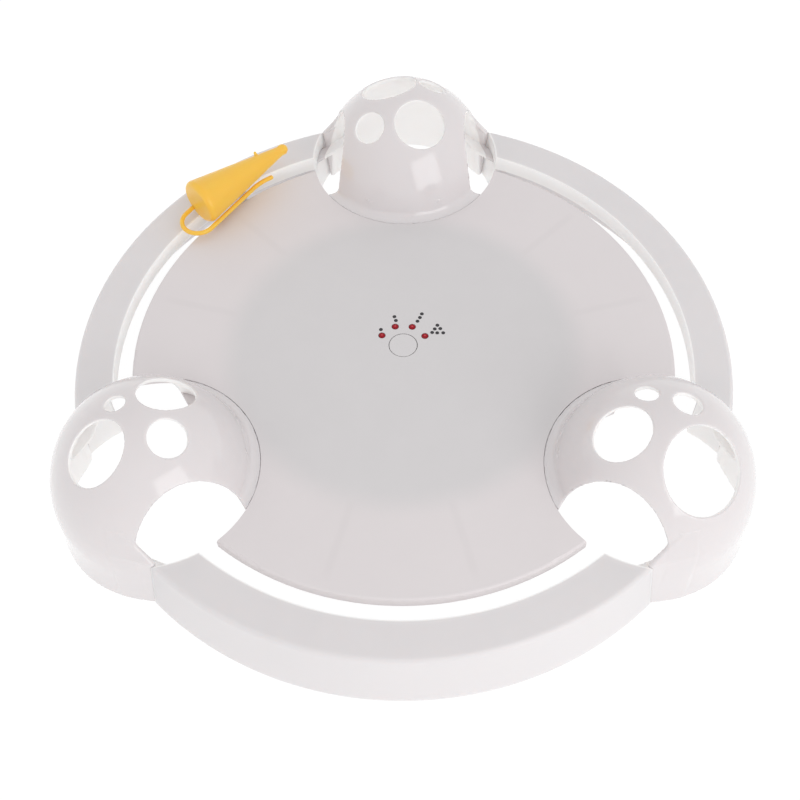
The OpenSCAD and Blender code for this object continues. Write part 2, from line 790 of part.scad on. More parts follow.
module gear_cover() {
    places = concat(post_points, [drive_at]);
    color("whitesmoke") difference() {
        union() {
            translate([0, 0, cover_bottom]) linear_extrude(cover_thickness)
                hull() for (place = places) translate(place) circle(r = cover_post + 1.2, $fn = 32);
            translate([wheel_at[0], wheel_at[1], first_bottom + gear_face + fit_gap])
                cylinder(r = wheel_axle + 1.6, h = cover_top - first_bottom - gear_face - fit_gap);
        }
        translate([wheel_at[0], wheel_at[1], cover_bottom - 2 * cut])
            cylinder(r = wheel_axle + press_gap, h = cover_thickness + 4 * cut);
        translate([motor_at[0], motor_at[1], cover_bottom - cut])
            cylinder(r = shaft_radius + 1, h = cover_thickness + 2 * cut);
        for (place = post_points) translate([place[0], place[1], cover_bottom - cut])
            cylinder(r = through_radius, h = cover_thickness + 2 * cut);
    }
}

module cover_screws() {
    color("silver") for (place = post_points) translate([place[0], place[1], cover_top]) rotate([180, 0, 0])
        screw(pilot_depth, screw_radius, screw_head, head_height);
}

// Toothed ring that runs round the drum on its foot
module turning_ring() {
    color("whitesmoke") difference() {
        union() {
            translate([0, 0, rotor_bottom]) cylinder(r = rotor_radius, h = rotor_land + rotor_face);
            at_arm() translate([rotor_radius - 1, -tab_width / 2, rotor_bottom])
                cube([tab_reach + 1, tab_width, tab_thickness]);
        }
        translate([0, 0, rotor_bottom - cut]) cylinder(r = drum_radius + run_gap, h = rotor_land + 2 * cut);
        translate([0, 0, teeth_bottom]) linear_extrude(rotor_face + cut) rotate(drive_bearing)
            polygon(tooth_ring(ring_teeth, ring_module, tooth_root, tooth_reach, 1 - tooth_share));
        at_arm() for (reach = arm_screws_at) translate([reach, 0, rotor_bottom - cut])
            cylinder(r = through_radius, h = tab_thickness + 2 * cut);
    }
}

module carrier_arm() {
    color("whitesmoke") at_arm() difference() {
        union() {
            translate([0, 0, arm_bottom]) linear_extrude(arm_thickness) hull() {
                translate([rotor_radius + fit_gap, -tab_width / 2]) square([tab_reach - 3, tab_width]);
                translate([track_radius, 0]) circle(d = arm_width, $fn = 32);
            }
            for (reach = arm_screws_at) translate([reach, 0, arm_bottom])
                cylinder(r = boss_radius, h = arm_boss_height);
            translate([rotor_radius + fit_gap, -1, arm_bottom])
                cube([track_radius - rotor_radius - fit_gap, 2, arm_thickness + arm_rib]);
            translate([track_radius, 0, arm_bottom])
                cylinder(d = arm_width, h = arm_thickness + post_boss_height);
        }
        for (reach = arm_screws_at) translate([reach, 0, arm_bottom - cut])
            cylinder(r = pilot_radius, h = arm_boss_height - 1 + cut);
        translate([track_radius, 0, arm_bottom + 1.5])
            cylinder(r = post_radius + press_gap, h = deck_height);
    }
}

module arm_screws() {
    color("silver") at_arm() for (reach = arm_screws_at) translate([reach, 0, rotor_bottom])
        screw(arm_screw_length, screw_radius, screw_head, head_height);
}

module mouse_post() {
    color("silver") at_arm() translate([track_radius, 0, arm_bottom + 1.5])
        cylinder(r = post_radius, h = post_top - arm_bottom - 1.5);
}

// Mouse cone with a rounded rear edge, a nose ball and a small nub on its back
module mouse_shape() {
    at_mouse() difference() {
        union() {
            translate([mouse_rear, 0, mouse_level]) rotate([0, 90, 0]) {
                rotate_extrude() union() {
                    polygon([[0, 0], [mouse_radius - mouse_edge, 0],
                        [mouse_radius - mouse_edge * 0.29, mouse_edge * 0.29],
                        [mouse_radius, mouse_edge], [nose_neck, mouse_length], [0, mouse_length]]);
                    intersection() {
                        translate([mouse_radius - mouse_edge, mouse_edge]) circle(r = mouse_edge, $fn = 48);
                        square([mouse_radius + cut, mouse_edge]);
                    }
                }
                translate([0, 0, mouse_length]) sphere(r = nose_radius);
            }
            translate([mouse_front - mouse_length * 0.27, 0, mouse_level]) rotate([-35, 0, 0])
                cylinder(r = 0.7, h = mouse_radius * 0.42 + 2);
        }
        translate([0, 0, deck_height]) cylinder(r = post_radius + press_gap, h = post_top - deck_height);
    }
}

module mouse_body() {
    color("gold") difference() {
        mouse_shape();
        at_tail() translate([-tail_neck, 0, 0]) rotate([0, 90, 0])
            cylinder(r = tail_radius + press_gap, h = tail_neck + tail_plug + press_gap, $fn = 32);
    }
}

module at_tail() {
    at_mouse() translate([mouse_rear, tail_root_side, tail_level]) rotate(tail_lean) children();
}

// Bends and straights of the tail lie in one level plane and share their end faces
module tail_bend(radius, sweep) {
    rotate(90) rotate_extrude(angle = sweep) translate([radius, 0]) circle(r = tail_radius, $fn = 32);
}

module tail_straight(length) {
    rotate([0, 90, 0]) cylinder(r = tail_radius, h = length, $fn = 32);
}

module mouse_tail() {
    color("gold") at_tail() {
        translate([-tail_neck, 0, 0]) tail_straight(tail_neck + tail_plug);
        translate([-tail_neck, -tail_loop, 0]) tail_bend(tail_loop, 180);
        translate([-tail_neck, -2 * tail_loop, 0]) tail_straight(tail_run);
        translate([tail_run - tail_neck, -2 * tail_loop - tail_tip_bend, 0])
            tail_bend(tail_tip_bend, -tail_tip_turn);
    }
}

module circuit_board() {
    color("darkgreen") difference() {
        translate([board_centre[0] - board_size[0] / 2, board_centre[1] - board_size[1] / 2, board_bottom])
            cube([board_size[0], board_size[1], board_thickness]);
        for (place = board_posts) translate([place[0], place[1], board_bottom - cut])
            cylinder(r = board_screw + fit_gap, h = board_thickness + 2 * cut);
    }
}

module control_chip() {
    color("black") translate([chip_at[0], chip_at[1], board_bottom - chip_size[2] / 2])
        cube(chip_size, center = true);
}

module switch_body() {
    color("dimgray") translate([0, panel_offset, board_top]) difference() {
        translate([-switch_size / 2, -switch_size / 2, 0]) cube([switch_size, switch_size, switch_height]);
        translate([0, 0, -cut]) cylinder(r = plunger_radius + run_gap, h = switch_height + 2 * cut);
    }
}

module switch_plunger() {
    color("black") translate([0, panel_offset, board_top + button_travel + fit_gap])
        cylinder(r = plunger_radius, h = button_foot - board_top - button_travel - fit_gap);
}

module push_button() {
    color("gainsboro") translate([0, panel_offset, button_foot]) {
        cylinder(r = button_flange, h = button_lip);
        cylinder(r = button_radius, h = deck_height - button_foot - 0.1);
    }
}

module lamps() {
    color("red") lamp_places() translate([0, 0, board_top]) {
        cylinder(r = lamp_flange, h = 1);
        cylinder(r = lamp_radius, h = deck_height + lamp_proud - lamp_radius - board_top);
        translate([0, 0, deck_height + lamp_proud - lamp_radius - board_top]) sphere(r = lamp_radius);
    }
}

module board_screws() {
    color("silver") for (place = board_posts) translate([place[0], place[1], board_bottom])
        screw(board_thickness + board_pilot - 0.5, board_screw, 2 * board_screw, 1.1);
}

module deck_screws() {
    color("silver") pillar_places() translate([0, 0, pillar_top - pillar_shoulder])
        screw(pillar_shoulder + pilot_depth - 1, screw_radius, screw_head, head_height);
}

module dome_screws() {
    color("silver") at_each_dome() dome_boss_places() translate([0, 0, seat_height - sheet])
        screw(sheet + dome_boss_height - 3, screw_radius, screw_head, head_height);
}

module ring_screws() {
    color("silver") at_each_dome() for (side = [1, -1]) dome_side_of(side)
        translate([ear_tip[0], ear_tip[1], ear_top - sheet])
            screw(sheet + ear_drop - 2, screw_radius, screw_head, head_height);
}

centre_deck();
ring_front();
ring_right();
ring_left();
dome_back();
dome_left();
dome_right();
base_drum();
battery_door();
door_screw();
battery_cells();
battery_contacts();
motor_can();
motor_shaft();
motor_pinion();
first_gear();
drive_gear();
gear_axles();
gear_cover();
cover_screws();
turning_ring();
carrier_arm();
arm_screws();
mouse_post();
mouse_body();
mouse_tail();
circuit_board();
control_chip();
switch_body();
switch_plunger();
push_button();
lamps();
board_screws();
deck_screws();
dome_screws();
ring_screws();
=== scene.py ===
"""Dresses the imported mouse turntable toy: finishes, fine pieces, floor, lights and camera."""

import math
from functools import reduce

import bpy
import numpy as np
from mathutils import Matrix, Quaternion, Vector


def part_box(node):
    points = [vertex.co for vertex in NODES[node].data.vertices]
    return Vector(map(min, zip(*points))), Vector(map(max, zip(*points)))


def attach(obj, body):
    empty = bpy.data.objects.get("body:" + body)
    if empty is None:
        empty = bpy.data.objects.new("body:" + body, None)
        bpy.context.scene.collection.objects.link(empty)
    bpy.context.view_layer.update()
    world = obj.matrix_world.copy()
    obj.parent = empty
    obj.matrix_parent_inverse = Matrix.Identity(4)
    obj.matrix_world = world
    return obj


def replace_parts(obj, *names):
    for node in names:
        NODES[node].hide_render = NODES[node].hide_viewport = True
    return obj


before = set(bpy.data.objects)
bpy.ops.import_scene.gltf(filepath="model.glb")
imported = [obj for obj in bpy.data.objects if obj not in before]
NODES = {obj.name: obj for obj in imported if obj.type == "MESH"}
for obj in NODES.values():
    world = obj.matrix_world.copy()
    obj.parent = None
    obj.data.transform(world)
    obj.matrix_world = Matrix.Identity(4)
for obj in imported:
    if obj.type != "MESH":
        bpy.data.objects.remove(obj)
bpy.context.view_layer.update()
MM = 0.001

bl_info = {
    "name": "Mouse turntable toy dresser",
    "version": (1, 0, 0),
    "blender": (4, 5, 0),
    "location": "3D View > Sidebar > Toy",
    "description": "Gives the packed mouse turntable toy its finishes, fine pieces and studio",
    "category": "Object",
}


def linear(value):
    """Light of a screen value from 0 to 255."""
    share = value / 255
    return share / 12.92 if share <= 0.04045 else ((share + 0.055) / 1.055) ** 2.4


def vector_prop(name, text, values, **kind):
    """Property of several numbers with its subtype."""
    return bpy.props.FloatVectorProperty(
        name=name, description=text, default=values, size=len(values), **kind)


def colour_prop(name, text, *screen):
    """Colour property with its screen colour as the default."""
    colour = tuple(linear(value) for value in screen)
    return vector_prop(name, text, colour, subtype="COLOR", min=0, max=1)


def number_prop(name, text, value, **kind):
    """Number property with its unit or its subtype."""
    return bpy.props.FloatProperty(name=name, description=text, default=value, **kind)


def length_prop(name, text, millimetres):
    """Length property with its default in millimetres."""
    return number_prop(name, text, millimetres * MM, unit="LENGTH", precision=5)


def angle_prop(name, text, degrees):
    """Angle property with its default in degrees."""
    return number_prop(name, text, math.radians(degrees), subtype="ANGLE")


class ToyFinish(bpy.types.PropertyGroup):
    """Colours of the toy's finishes."""

    deck: colour_prop("Deck", "Moulded plastic of the centre deck", 223, 217, 218)
    # Painted shade: the deck's tone over the drum is darker, standing in for the drum's shade below
    deck_drum_shade: colour_prop("Deck middle", "Tone of the deck over the drum", 213, 210, 211)
    ring: colour_prop("Ring", "Moulded plastic of the outer ring", 222, 219, 220)
    dome: colour_prop("Dome", "Glossy plastic of the domes", 221, 216, 217)
    # Painted light: white standing in for light on the inside of the domes and on the ring's shaded lip and
    # ends
    painted_lit_inside: colour_prop("Dome inside", "Plain white inside of the domes", 252, 250, 249)
    base: colour_prop("Base", "Plastic of the drum and its door", 214, 212, 211)
    yellow: colour_prop("Mouse", "Amber plastic of the mouse and its tail", 248, 196, 70)
    button: colour_prop("Button", "Plastic of the push button", 214, 211, 212)
    lamp: colour_prop("Lamp", "Red lens of a lamp", 156, 16, 32)
    lamp_edge: colour_prop("Lamp edge", "Dark edge of a lamp's lens", 128, 14, 28)
    # Painted highlight in the middle of each lamp's lens
    lamp_highlight: colour_prop("Lamp core", "Bright middle of a lamp's lens", 232, 104, 108)
    ink: colour_prop("Ink", "Printed dots of the panel", 46, 44, 48)
    gear: colour_prop("Gear", "Nylon of the gears and the turning ring", 226, 221, 206)
    black: colour_prop("Black", "Black plastic of the chip and the switch", 32, 32, 34)
    board: colour_prop("Board", "Lacquer of the circuit board", 26, 96, 62)
    copper: colour_prop("Copper", "Copper of the board and the band of a cell", 176, 110, 62)
    sleeve: colour_prop("Sleeve", "Dark film round a cell", 52, 56, 66)
    steel: colour_prop("Steel", "Plated steel of screws, shafts and contacts", 188, 188, 186)
    brass: colour_prop("Brass", "Brass of the motor's pinion", 206, 170, 92)


class ToySizes(bpy.types.PropertyGroup):
    """Sizes of the fine pieces."""

    edge_round: length_prop("Edge round", "Softened edge of the moulded shells", 0.5)
    lamp_radius: length_prop("Lamp radius", "Radius of a lamp's lens", 1.5)
    lamp_flange: length_prop("Lamp flange", "Radius of a lamp's foot on the board", 1.9)
    lamp_foot: length_prop("Lamp foot", "Thickness of a lamp's foot", 1)
    lamp_crown: length_prop("Lamp crown", "Height of the lens above its straight side", 0.5)
    dot_width: length_prop("Dot width", "Width of a printed dot", 1.75)
    dot_height: length_prop("Dot height", "Thickness of the printed ink", 0.05)


class ToyDome(bpy.types.PropertyGroup):
    """Sizes of a dome."""

    reach: length_prop("Reach", "Dome's middle from the deck's centre", 121)
    foot_radius: length_prop("Foot radius", "Outer radius at the floor", 44.7)
    cap_radius: length_prop("Cap radius", "Outer radius where the cap starts", 43.3)
    cap_start: length_prop("Cap start", "Height where the cap starts", 20)
    height: length_prop("Height", "Height of the dome", 73)
    wall: length_prop("Wall", "Thickness of the dome's wall", 2.2)
    sheet: length_prop("Sheet", "Thickness of the deck's sheet and the ears", 2.4)
    deck_height: length_prop("Deck height", "Height of the deck's top", 33.5)
    collar_reach: length_prop("Collar reach", "Width of the collar on the deck", 3.6)
    collar_cove: length_prop("Collar cove", "Radius of the hollow fillet above the collar", 3.4)
    paw_focus: length_prop("Paw focus", "Height that the paw holes aim at", 37)
    tunnel_width: length_prop("Tunnel width", "Width of the tunnel", 49)
    tunnel_height: length_prop("Tunnel height", "Height of the tunnel", 58.5)
    tunnel_spring: length_prop("Tunnel spring", "Height where the tunnel's arch starts", 24)
    tunnel_shift: length_prop("Tunnel shift", "Tunnel's middle from the dome's middle", -2)
    ring_inner: length_prop("Ring inner", "Inner radius of the outer ring", 128.2)
    ring_outer: length_prop("Ring outer", "Outer radius of the ring at its top", 145.2)
    ring_flare: length_prop("Ring flare", "Lean of the ring's wall at the floor", 3.2)
    cheek: length_prop("Cheek", "Half thickness of the cheek at a ring end", 1.3)
    rim_round: length_prop("Rim round", "Rounded edge of the holes and the tunnel", 0.9)
    step: length_prop("Mesh step", "Width of a face on the domes", 0.75)


class ToyMouse(bpy.types.PropertyGroup):
    """Sizes of the mouse."""

    bearing: angle_prop("Bearing", "Where the mouse rests on the track", 130)
    turn: angle_prop("Turn", "Turn of the mouse on its post", 3.5)
    track: length_prop("Track", "Radius of the track's middle", 124.2)
    level: length_prop("Level", "Height of the mouse's middle line", 45.2)
    length: length_prop("Length", "Length without the nose ball", 52.5)
    radius: length_prop("Radius", "Radius at the rear", 10.8)
    nose: length_prop("Nose", "Radius of the nose ball", 2.5)
    tail_radius: length_prop("Tail radius", "Radius of the tail", 1.1)
    tail_loop: length_prop("Tail loop", "Radius of the tail's bend", 8)
    tail_run: length_prop("Tail run", "Length of the tail's straight run", 31)
    tail_lean: angle_prop("Tail lean", "Turn of the tail at its root", 11.5)
    step: length_prop("Mesh step", "Width of a face on the mouse", 0.5)


class ToyStage(bpy.types.PropertyGroup):
    """Camera, floor and lights."""

    lens: number_prop("Lens", "Focal length of the camera", 52.44, unit="CAMERA")
    frame_width: number_prop("Frame width", "Width of the camera's frame", 36, unit="CAMERA")
    eye: vector_prop("Eye", "Camera's place", (0.00721, -0.30588, 0.45359), subtype="TRANSLATION")
    roll: angle_prop("Roll", "Camera's turn about its view line", -1.12)
    shift: vector_prop("Shift", "Camera's shift in shares of the frame", (-0.0049, -0.0096), subtype="XYZ")
    floor_size: length_prop("Floor", "Width of the floor", 6000)
    floor_drop: length_prop("Floor drop", "Gap between the floor and the toy's feet", 0.2)
    floor_glow: number_prop("Floor glow", "Light of the white table, where 1 is white", 0.95, subtype="FACTOR")
    floor_tone: number_prop("Floor tone", "Share of other light that the table returns", 0.1, subtype="FACTOR")
    sky: number_prop("Sky", "Strength of the even room light", 0.86, subtype="FACTOR")
    key: number_prop("Key", "Power of the soft box in front", 3.0, unit="POWER")
    key_place: vector_prop("Key place", "Place of the soft box", (0.613, -0.843, 0.486), subtype="TRANSLATION")
    key_size: vector_prop("Key size", "Width and height of the soft box", (0.80, 0.72), subtype="XYZ_LENGTH")


# Paw holes of each dome: lean from the vertical and bearing from outwards in degrees, then length and width
PAW_HOLES = {
    "dome_back": ((37, 129, 15, 15.5), (27, 209, 24, 24), (26, 31, 27, 27), (33, 315, 13, 13)),
    "dome_left": ((34, 10, 29, 24), (26.5, 123, 16, 16), (34, 208, 27, 22), (19, 288, 9.5, 8.5)),
    "dome_right": ((33, 220, 25, 23), (42, 335, 36, 34), (26, 148, 11, 8.5), (18.5, 74, 12, 12)),
}
DOME_BEARINGS = {"dome_back": 90, "dome_left": 210, "dome_right": 330}
RIB_TURNS = (-105, -75, 15, 45, 135, 165)
# Smallest slope that a field is divided by
TINY = 1e-6
# Meshing: every third point of the grid is tried first, then all within some steps of the surface
TRY_EVERY, NEAR_STEPS, SETTLE_PASSES = 3, 5, 4


def soft_join(first, second, blend):
    """Field of two solids joined with a fillet."""
    share = np.clip(0.5 + 0.5 * (second - first) / blend, 0, 1)
    return second + (first - second) * share - blend * share * (1 - share)


def cove_join(first, second, radius):
    """Field of two solids joined with a hollow round of a radius."""
    over = np.hypot(np.maximum(radius - first, 0), np.maximum(radius - second, 0))
    return np.maximum(np.minimum(first, second), radius) - over


def round_cut(solid, tool, radius):
    """Field of a solid less a tool, with a rounded edge."""
    over = np.hypot(np.maximum(solid + radius, 0), np.maximum(radius - tool, 0))
    return np.minimum(np.maximum(solid, -tool), -radius) + over


def oval(across, along, half_across, half_along):
    """Field of an ellipse about the origin."""
    size = np.hypot(across / half_across, along / half_along)
    slope = np.hypot(across / half_across ** 2, along / half_along ** 2)
    return np.where(slope > TINY, size * (size - 1) / np.maximum(slope, TINY), -min(half_across, half_along))


def rod(points, start, end, radius):
    """Field of a round-ended rod, in the plane or in space."""
    line = np.subtract(end, start)
    off = points - np.asarray(start)
    share = np.clip(off @ line / (line @ line), 0, 1)
    return np.linalg.norm(off - share[:, None] * line, axis=1) - radius


def polar(reach, turn):
    """Plane point at a reach and a bearing in degrees."""
    return np.array([reach * math.cos(math.radians(turn)), reach * math.sin(math.radians(turn))])


def spin_of(turn):
    """Matrix that turns rows of points about the upright axis."""
    along, across = math.cos(turn), math.sin(turn)
    return np.array([[along, across, 0], [-across, along, 0], [0, 0, 1]])


def skin(field, low, high, step):
    """Points, quads and normals of a field's surface, with a point for each crossed cell."""
    low = np.asarray(low, float)
    counts = np.ceil((np.asarray(high) - low) / step).astype(int) + 1
    grid = low + step * np.moveaxis(np.indices(counts), 0, -1)
    rough = grid[::TRY_EVERY, ::TRY_EVERY, ::TRY_EVERY]
    values = field(rough.reshape(-1, 3)).reshape(rough.shape[:3])
    tried = [np.minimum((np.arange(count) + TRY_EVERY // 2) // TRY_EVERY, most - 1)
             for count, most in zip(counts, rough.shape)]
    values = values[np.ix_(*tried)]
    near = np.abs(values) < NEAR_STEPS * step
    values[near] = field(grid[near])
    inside = values < 0
    total = np.zeros((*(counts - 1), 3))
    hits = np.zeros(counts - 1)
    faces = []
    for axis in range(3):
        ahead, aside, beyond = np.roll(np.eye(3, dtype=int), -axis, axis=0)
        spot = np.argwhere(np.diff(inside, axis=axis))
        first, second = values[tuple(spot.T)], values[tuple((spot + ahead).T)]
        point = low + (spot + (first / (first - second))[:, None] * ahead) * step
        ring = []
        for one, two in ((-1, -1), (0, -1), (0, 0), (-1, 0)):
            cell = tuple((spot + one * aside + two * beyond).T)
            np.add.at(total, cell, point)
            np.add.at(hits, cell, 1)
            ring.append(np.ravel_multi_index(cell, hits.shape))
        ring = np.stack(ring, 1)
        faces.append(np.where((first < second)[:, None], ring, ring[:, ::-1]))
    used = np.flatnonzero(hits.ravel())
    number = np.zeros(hits.size, int)
    number[used] = np.arange(len(used))
    points = total.reshape(-1, 3)[used] / hits.ravel()[used, None]
    for _ in range(SETTLE_PASSES):
        slope = slope_of(field, points)
        move = field(points)[:, None] * slope / np.maximum((slope ** 2).sum(1), TINY)[:, None]
        points = points - np.clip(move, -step / 2, step / 2)
    normals = slope_of(field, points, step / 4)
    normals /= np.maximum(np.linalg.norm(normals, axis=1), TINY)[:, None]
    return points, number[np.concatenate(faces)], normals


def slope_of(field, points, reach=0.02):
    """Steepest rise of a field at each point."""
    rises = [field(points + shift) - field(points - shift) for shift in reach * np.eye(3)]
    return np.stack(rises, 1) / (2 * reach)


def mesh_of(name, points, faces, normals=None):
    """Mesh from points in millimetres."""
    mesh = bpy.data.meshes.new(name)
    mesh.from_pydata((points * MM).tolist(), [], [tuple(face) for face in faces])
    mesh.shade_smooth()
    if normals is not None:
        mesh.normals_split_custom_set_from_vertices(normals.tolist())
    mesh.validate()
    return mesh


def tube_faces(start, rows, sides):
    """Quads between rings of points that follow each other."""
    return [(low + k, low + (k + 1) % sides, low + sides + (k + 1) % sides, low + sides + k)
            for low in range(start, start + (rows - 1) * sides, sides) for k in range(sides)]


class Wire:
    """A value on its way through a node tree."""

    def __init__(self, sheet, socket):
        self.sheet = sheet
        self.socket = socket

    def math(self, operation, *others):
        return self.sheet.node("ShaderNodeMath", {"operation": operation}, [self, *others])

    def __add__(self, other):
        return self.math("ADD", other)

    def __sub__(self, other):
        return self.math("SUBTRACT", other)

    def __mul__(self, other):
        return self.math("MULTIPLY", other)

    def __truediv__(self, other):
        return self.math("DIVIDE", other)

    __radd__, __rmul__ = __add__, __mul__

    def __rsub__(self, other):
        return self.sheet.node("ShaderNodeMath", {"operation": "SUBTRACT"}, [other, self])

    def least(self, other):
        return self.math("MINIMUM", other)

    def most(self, other):
        return self.math("MAXIMUM", other)

    def step(self, low, high):
        """Smooth rise from 0 at low to 1 at high."""
        return self.sheet.node("ShaderNodeMapRange", {"interpolation_type": "SMOOTHSTEP"},
                               {"Value": self, "From Min": low, "From Max": high})

    def sway(self, width):
        """Drift about zero of a value that runs from 0 to 1."""
        return (self - 0.5) * width


# Sockets of the Mix node when it mixes colours
MIX_SHARE, MIX_FIRST, MIX_SECOND, MIX_RESULT = 0, 6, 7, 2
BUMP_STRENGTH = 0.35
EDGE_SAMPLES = 4


class Sheet:
    """Node tree of one finish, or of the room."""

    def __init__(self, name, room=None):
        self.material = room or bpy.data.materials.new(name)
        self.material.use_nodes = True
        self.tree = self.material.node_tree
        self.tree.nodes.clear()

    def node(self, kind, settings=None, inputs=None, output=0):
        """Adds a node: its type, its settings, then the values or wires of its sockets."""
        made = self.tree.nodes.new(kind)
        for key, value in (settings or {}).items():
            setattr(made, key, value)
        pairs = inputs.items() if isinstance(inputs, dict) else enumerate(inputs or [])
        for key, value in pairs:
            socket = made.inputs[key]
            if isinstance(value, Wire):
                self.tree.links.new(value.socket, socket)
            elif value is not None:
                socket.default_value = (*value, 1) if socket.type == "RGBA" else value
        return Wire(self, made.outputs[output]) if made.outputs else None

    def place(self):
        """Point on the piece in its own frame."""
        return self.node("ShaderNodeTexCoord", output="Object")

    def parts(self, vector):
        """The three numbers of a vector."""
        first = self.node("ShaderNodeSeparateXYZ", inputs=[vector])
        return [Wire(self, socket) for socket in first.socket.node.outputs]

    def noise(self, vector, scale, detail=2, rough=0.5):
        """Noise from 0 to 1, its scale in waves to the metre."""
        return self.node("ShaderNodeTexNoise", None,
                         {"Vector": vector, "Scale": scale, "Detail": detail, "Roughness": rough}, "Fac")

    def drifts(self, place, scales=(16, 90, 2600), draw=(1, 1, 3), slow=0.7):
        """Drift of tone, flow marks and fine grain of moulded plastic."""
        broad = self.noise(place, scales[0])
        flow = self.noise(self.stretch(place, draw), scales[1], 3)
        return broad * slow + flow * (1 - slow), flow, self.noise(place, scales[2], 3, 0.6)

    def stretch(self, vector, by):
        """A vector drawn out along its axes."""
        return self.node("ShaderNodeVectorMath", {"operation": "MULTIPLY"}, [vector, by])

    def apart(self, vector, point):
        """Distance from a point."""
        return self.node("ShaderNodeVectorMath", {"operation": "DISTANCE"}, [vector, point], "Value")

    def nearest(self, vector, points):
        """Distance from the nearest of some points."""
        return reduce(Wire.least, [self.apart(vector, point) for point in points])

    def mix(self, share, first, second):
        """Colour between two colours."""
        return self.node("ShaderNodeMix", {"data_type": "RGBA", "clamp_factor": True},
                         {MIX_SHARE: share, MIX_FIRST: first, MIX_SECOND: second}, MIX_RESULT)

    def vary(self, share, tone, low, high):
        """A tone that runs between two shares of itself."""
        return self.mix(share, shade(tone, low), shade(tone, high))

    def surface(self, colour, rough, bump, depth, edge=0, metal=0, coat=0, **more):
        """Principled shader with a softened edge and a fine bump, its depth in millimetres."""
        corner = self.node("ShaderNodeBevel", {"samples": EDGE_SAMPLES}, {"Radius": edge}) if edge else None
        normal = self.node("ShaderNodeBump", None, {
            "Strength": BUMP_STRENGTH, "Distance": depth * MM, "Height": bump, "Normal": corner})
        self.send(self.node("ShaderNodeBsdfPrincipled", None, {
            "Base Color": colour, "Roughness": rough, "Metallic": metal, "Coat Weight": coat,
            "Normal": normal, **more}))
        return self.material

    def send(self, shader, kind="ShaderNodeOutputMaterial"):
        """Sends a shader to the tree's output."""
        self.node(kind, None, {"Surface": shader})


def milky(weight, depth, reach=(1.0, 0.9, 0.85)):
    """Shader values for plastic that lets light in to a depth in millimetres."""
    return {"Subsurface Weight": weight, "Subsurface Radius": reach, "Subsurface Scale": depth * MM}


def shade(tone, share):
    """A tone made lighter or darker by a share."""
    return tuple(min(1.0, value * share) for value in tone)


def moulded(name, tone, rough, depth=0.05, edge=0, coat=0, spread=0.04, **more):
    """Moulded plastic: slow drift of tone, finer drift of gloss and a fine grain."""
    sheet = Sheet(name)
    drift, flow, grain = sheet.drifts(sheet.place())
    colour = sheet.vary(drift, tone, 1 - spread, 1 + spread)
    gloss = rough + flow.sway(0.10) + grain.sway(0.06)
    return sheet.surface(colour, gloss, grain, depth, edge, coat=coat, **more)


def deck_finish(name, tone, middle):
    """Deck plastic with painted shade: a little darker and more neutral over the drum, with faint darker lines
    over each rib below, standing in for the shade that these cast up through the deck.
    """
    sheet = Sheet(name)
    place = sheet.place()
    across, along = sheet.parts(place)[:2]
    reach = (across * across + along * along).math("SQRT")
    bearing = along.math("ARCTAN2", across)
    # Painted shade: share of the deck that lies over the drum
    drum_shade = 1 - reach.step(70 * MM, 86 * MM)
    offs = [(bearing - math.radians(turn)).math("ABSOLUTE") * reach for turn in RIB_TURNS]
    # Painted shade: faint darker lines over each rib beneath the deck
    rib_shadows = 1 - reduce(Wire.least, offs).step(0.6 * MM, 2.6 * MM)
    rib_shadows = rib_shadows * reach.step(76 * MM, 82 * MM) * (1 - reach.step(108 * MM, 118 * MM))
    drift, flow, grain = sheet.drifts(place, (14, 70, 2200), (1, 1, 1), 0.6)
    colour = sheet.vary(drift, tone, 0.97, 1.03)
    colour = sheet.mix(drum_shade, colour, sheet.vary(flow, middle, 0.98, 1.02))
    colour = sheet.mix(rib_shadows * 0.3, colour, shade(tone, 0.92))
    return sheet.surface(colour, 0.44 + flow.sway(0.10) + grain.sway(0.08), grain, 0.06)


def ring_finish(name, tone, painted_light_tone, dome):
    """Ring plastic with painted light: paler on the lip beside the track and on the closed ends, which lie in
    shade.
    """
    sheet = Sheet(name)
    place = sheet.place()
    flat = sheet.node("ShaderNodeCombineXYZ", None, sheet.parts(place)[:2])
    to_dome = sheet.nearest(flat, [(*polar(dome.reach, bearing), 0) for bearing in DOME_BEARINGS.values()])
    lip = sheet.apart(flat, (0, 0, 0)) - dome.ring_inner
    # Painted light: the shaded lip and the ring's ends near the domes are lightened
    painted_light_share = (1 - to_dome.step(45.9 * MM, 46.6 * MM)).most(1 - lip.step(0.2 * MM, 0.7 * MM))
    drift, flow, grain = sheet.drifts(place)
    colour = sheet.vary(drift, tone, 0.97, 1.03)
    colour = sheet.mix(painted_light_share * 0.8, colour, painted_light_tone)
    return sheet.surface(colour, 0.40 + flow.sway(0.10) + grain.sway(0.06), grain, 0.05, **milky(0.6, 3.0))


def dome_finish(name, tone, painted_inner_light, centre, dome):
    """Dome plastic: glossy outside, with painted light: plain white on the inside and on the cut edges,
    standing in for light from below.
    """
    sheet = Sheet(name)
    place = sheet.place()
    off = sheet.node("ShaderNodeVectorMath", {"operation": "SUBTRACT"}, [place, centre])
    across, along, up = sheet.parts(off)
    below = (dome.cap_start - up).most(0) / dome.cap_start
    radius = below * below * (dome.foot_radius - dome.cap_radius) + (dome.cap_radius - dome.wall / 2)
    flat = (across * across + along * along) / (radius * radius)
    lift = (up - dome.cap_start).most(0) / (dome.height - dome.cap_start - dome.wall / 2)
    outside = (flat + lift * lift).math("SQRT").step(1.006, 1.02)
    drift, flow, grain = sheet.drifts(place)
    outer = sheet.vary(drift, tone, 0.98, 1.02)
    # Painted light: the inside and the cut edges take the white tone
    colour = sheet.mix(outside, sheet.vary(flow, painted_inner_light, 0.98, 1), outer)
    gloss = 0.42 - outside * 0.29 + flow.sway(0.06) + grain.sway(0.04)
    return sheet.surface(colour, gloss, grain, 0.015, coat=outside * 0.5, **milky(0.35, 2.5))


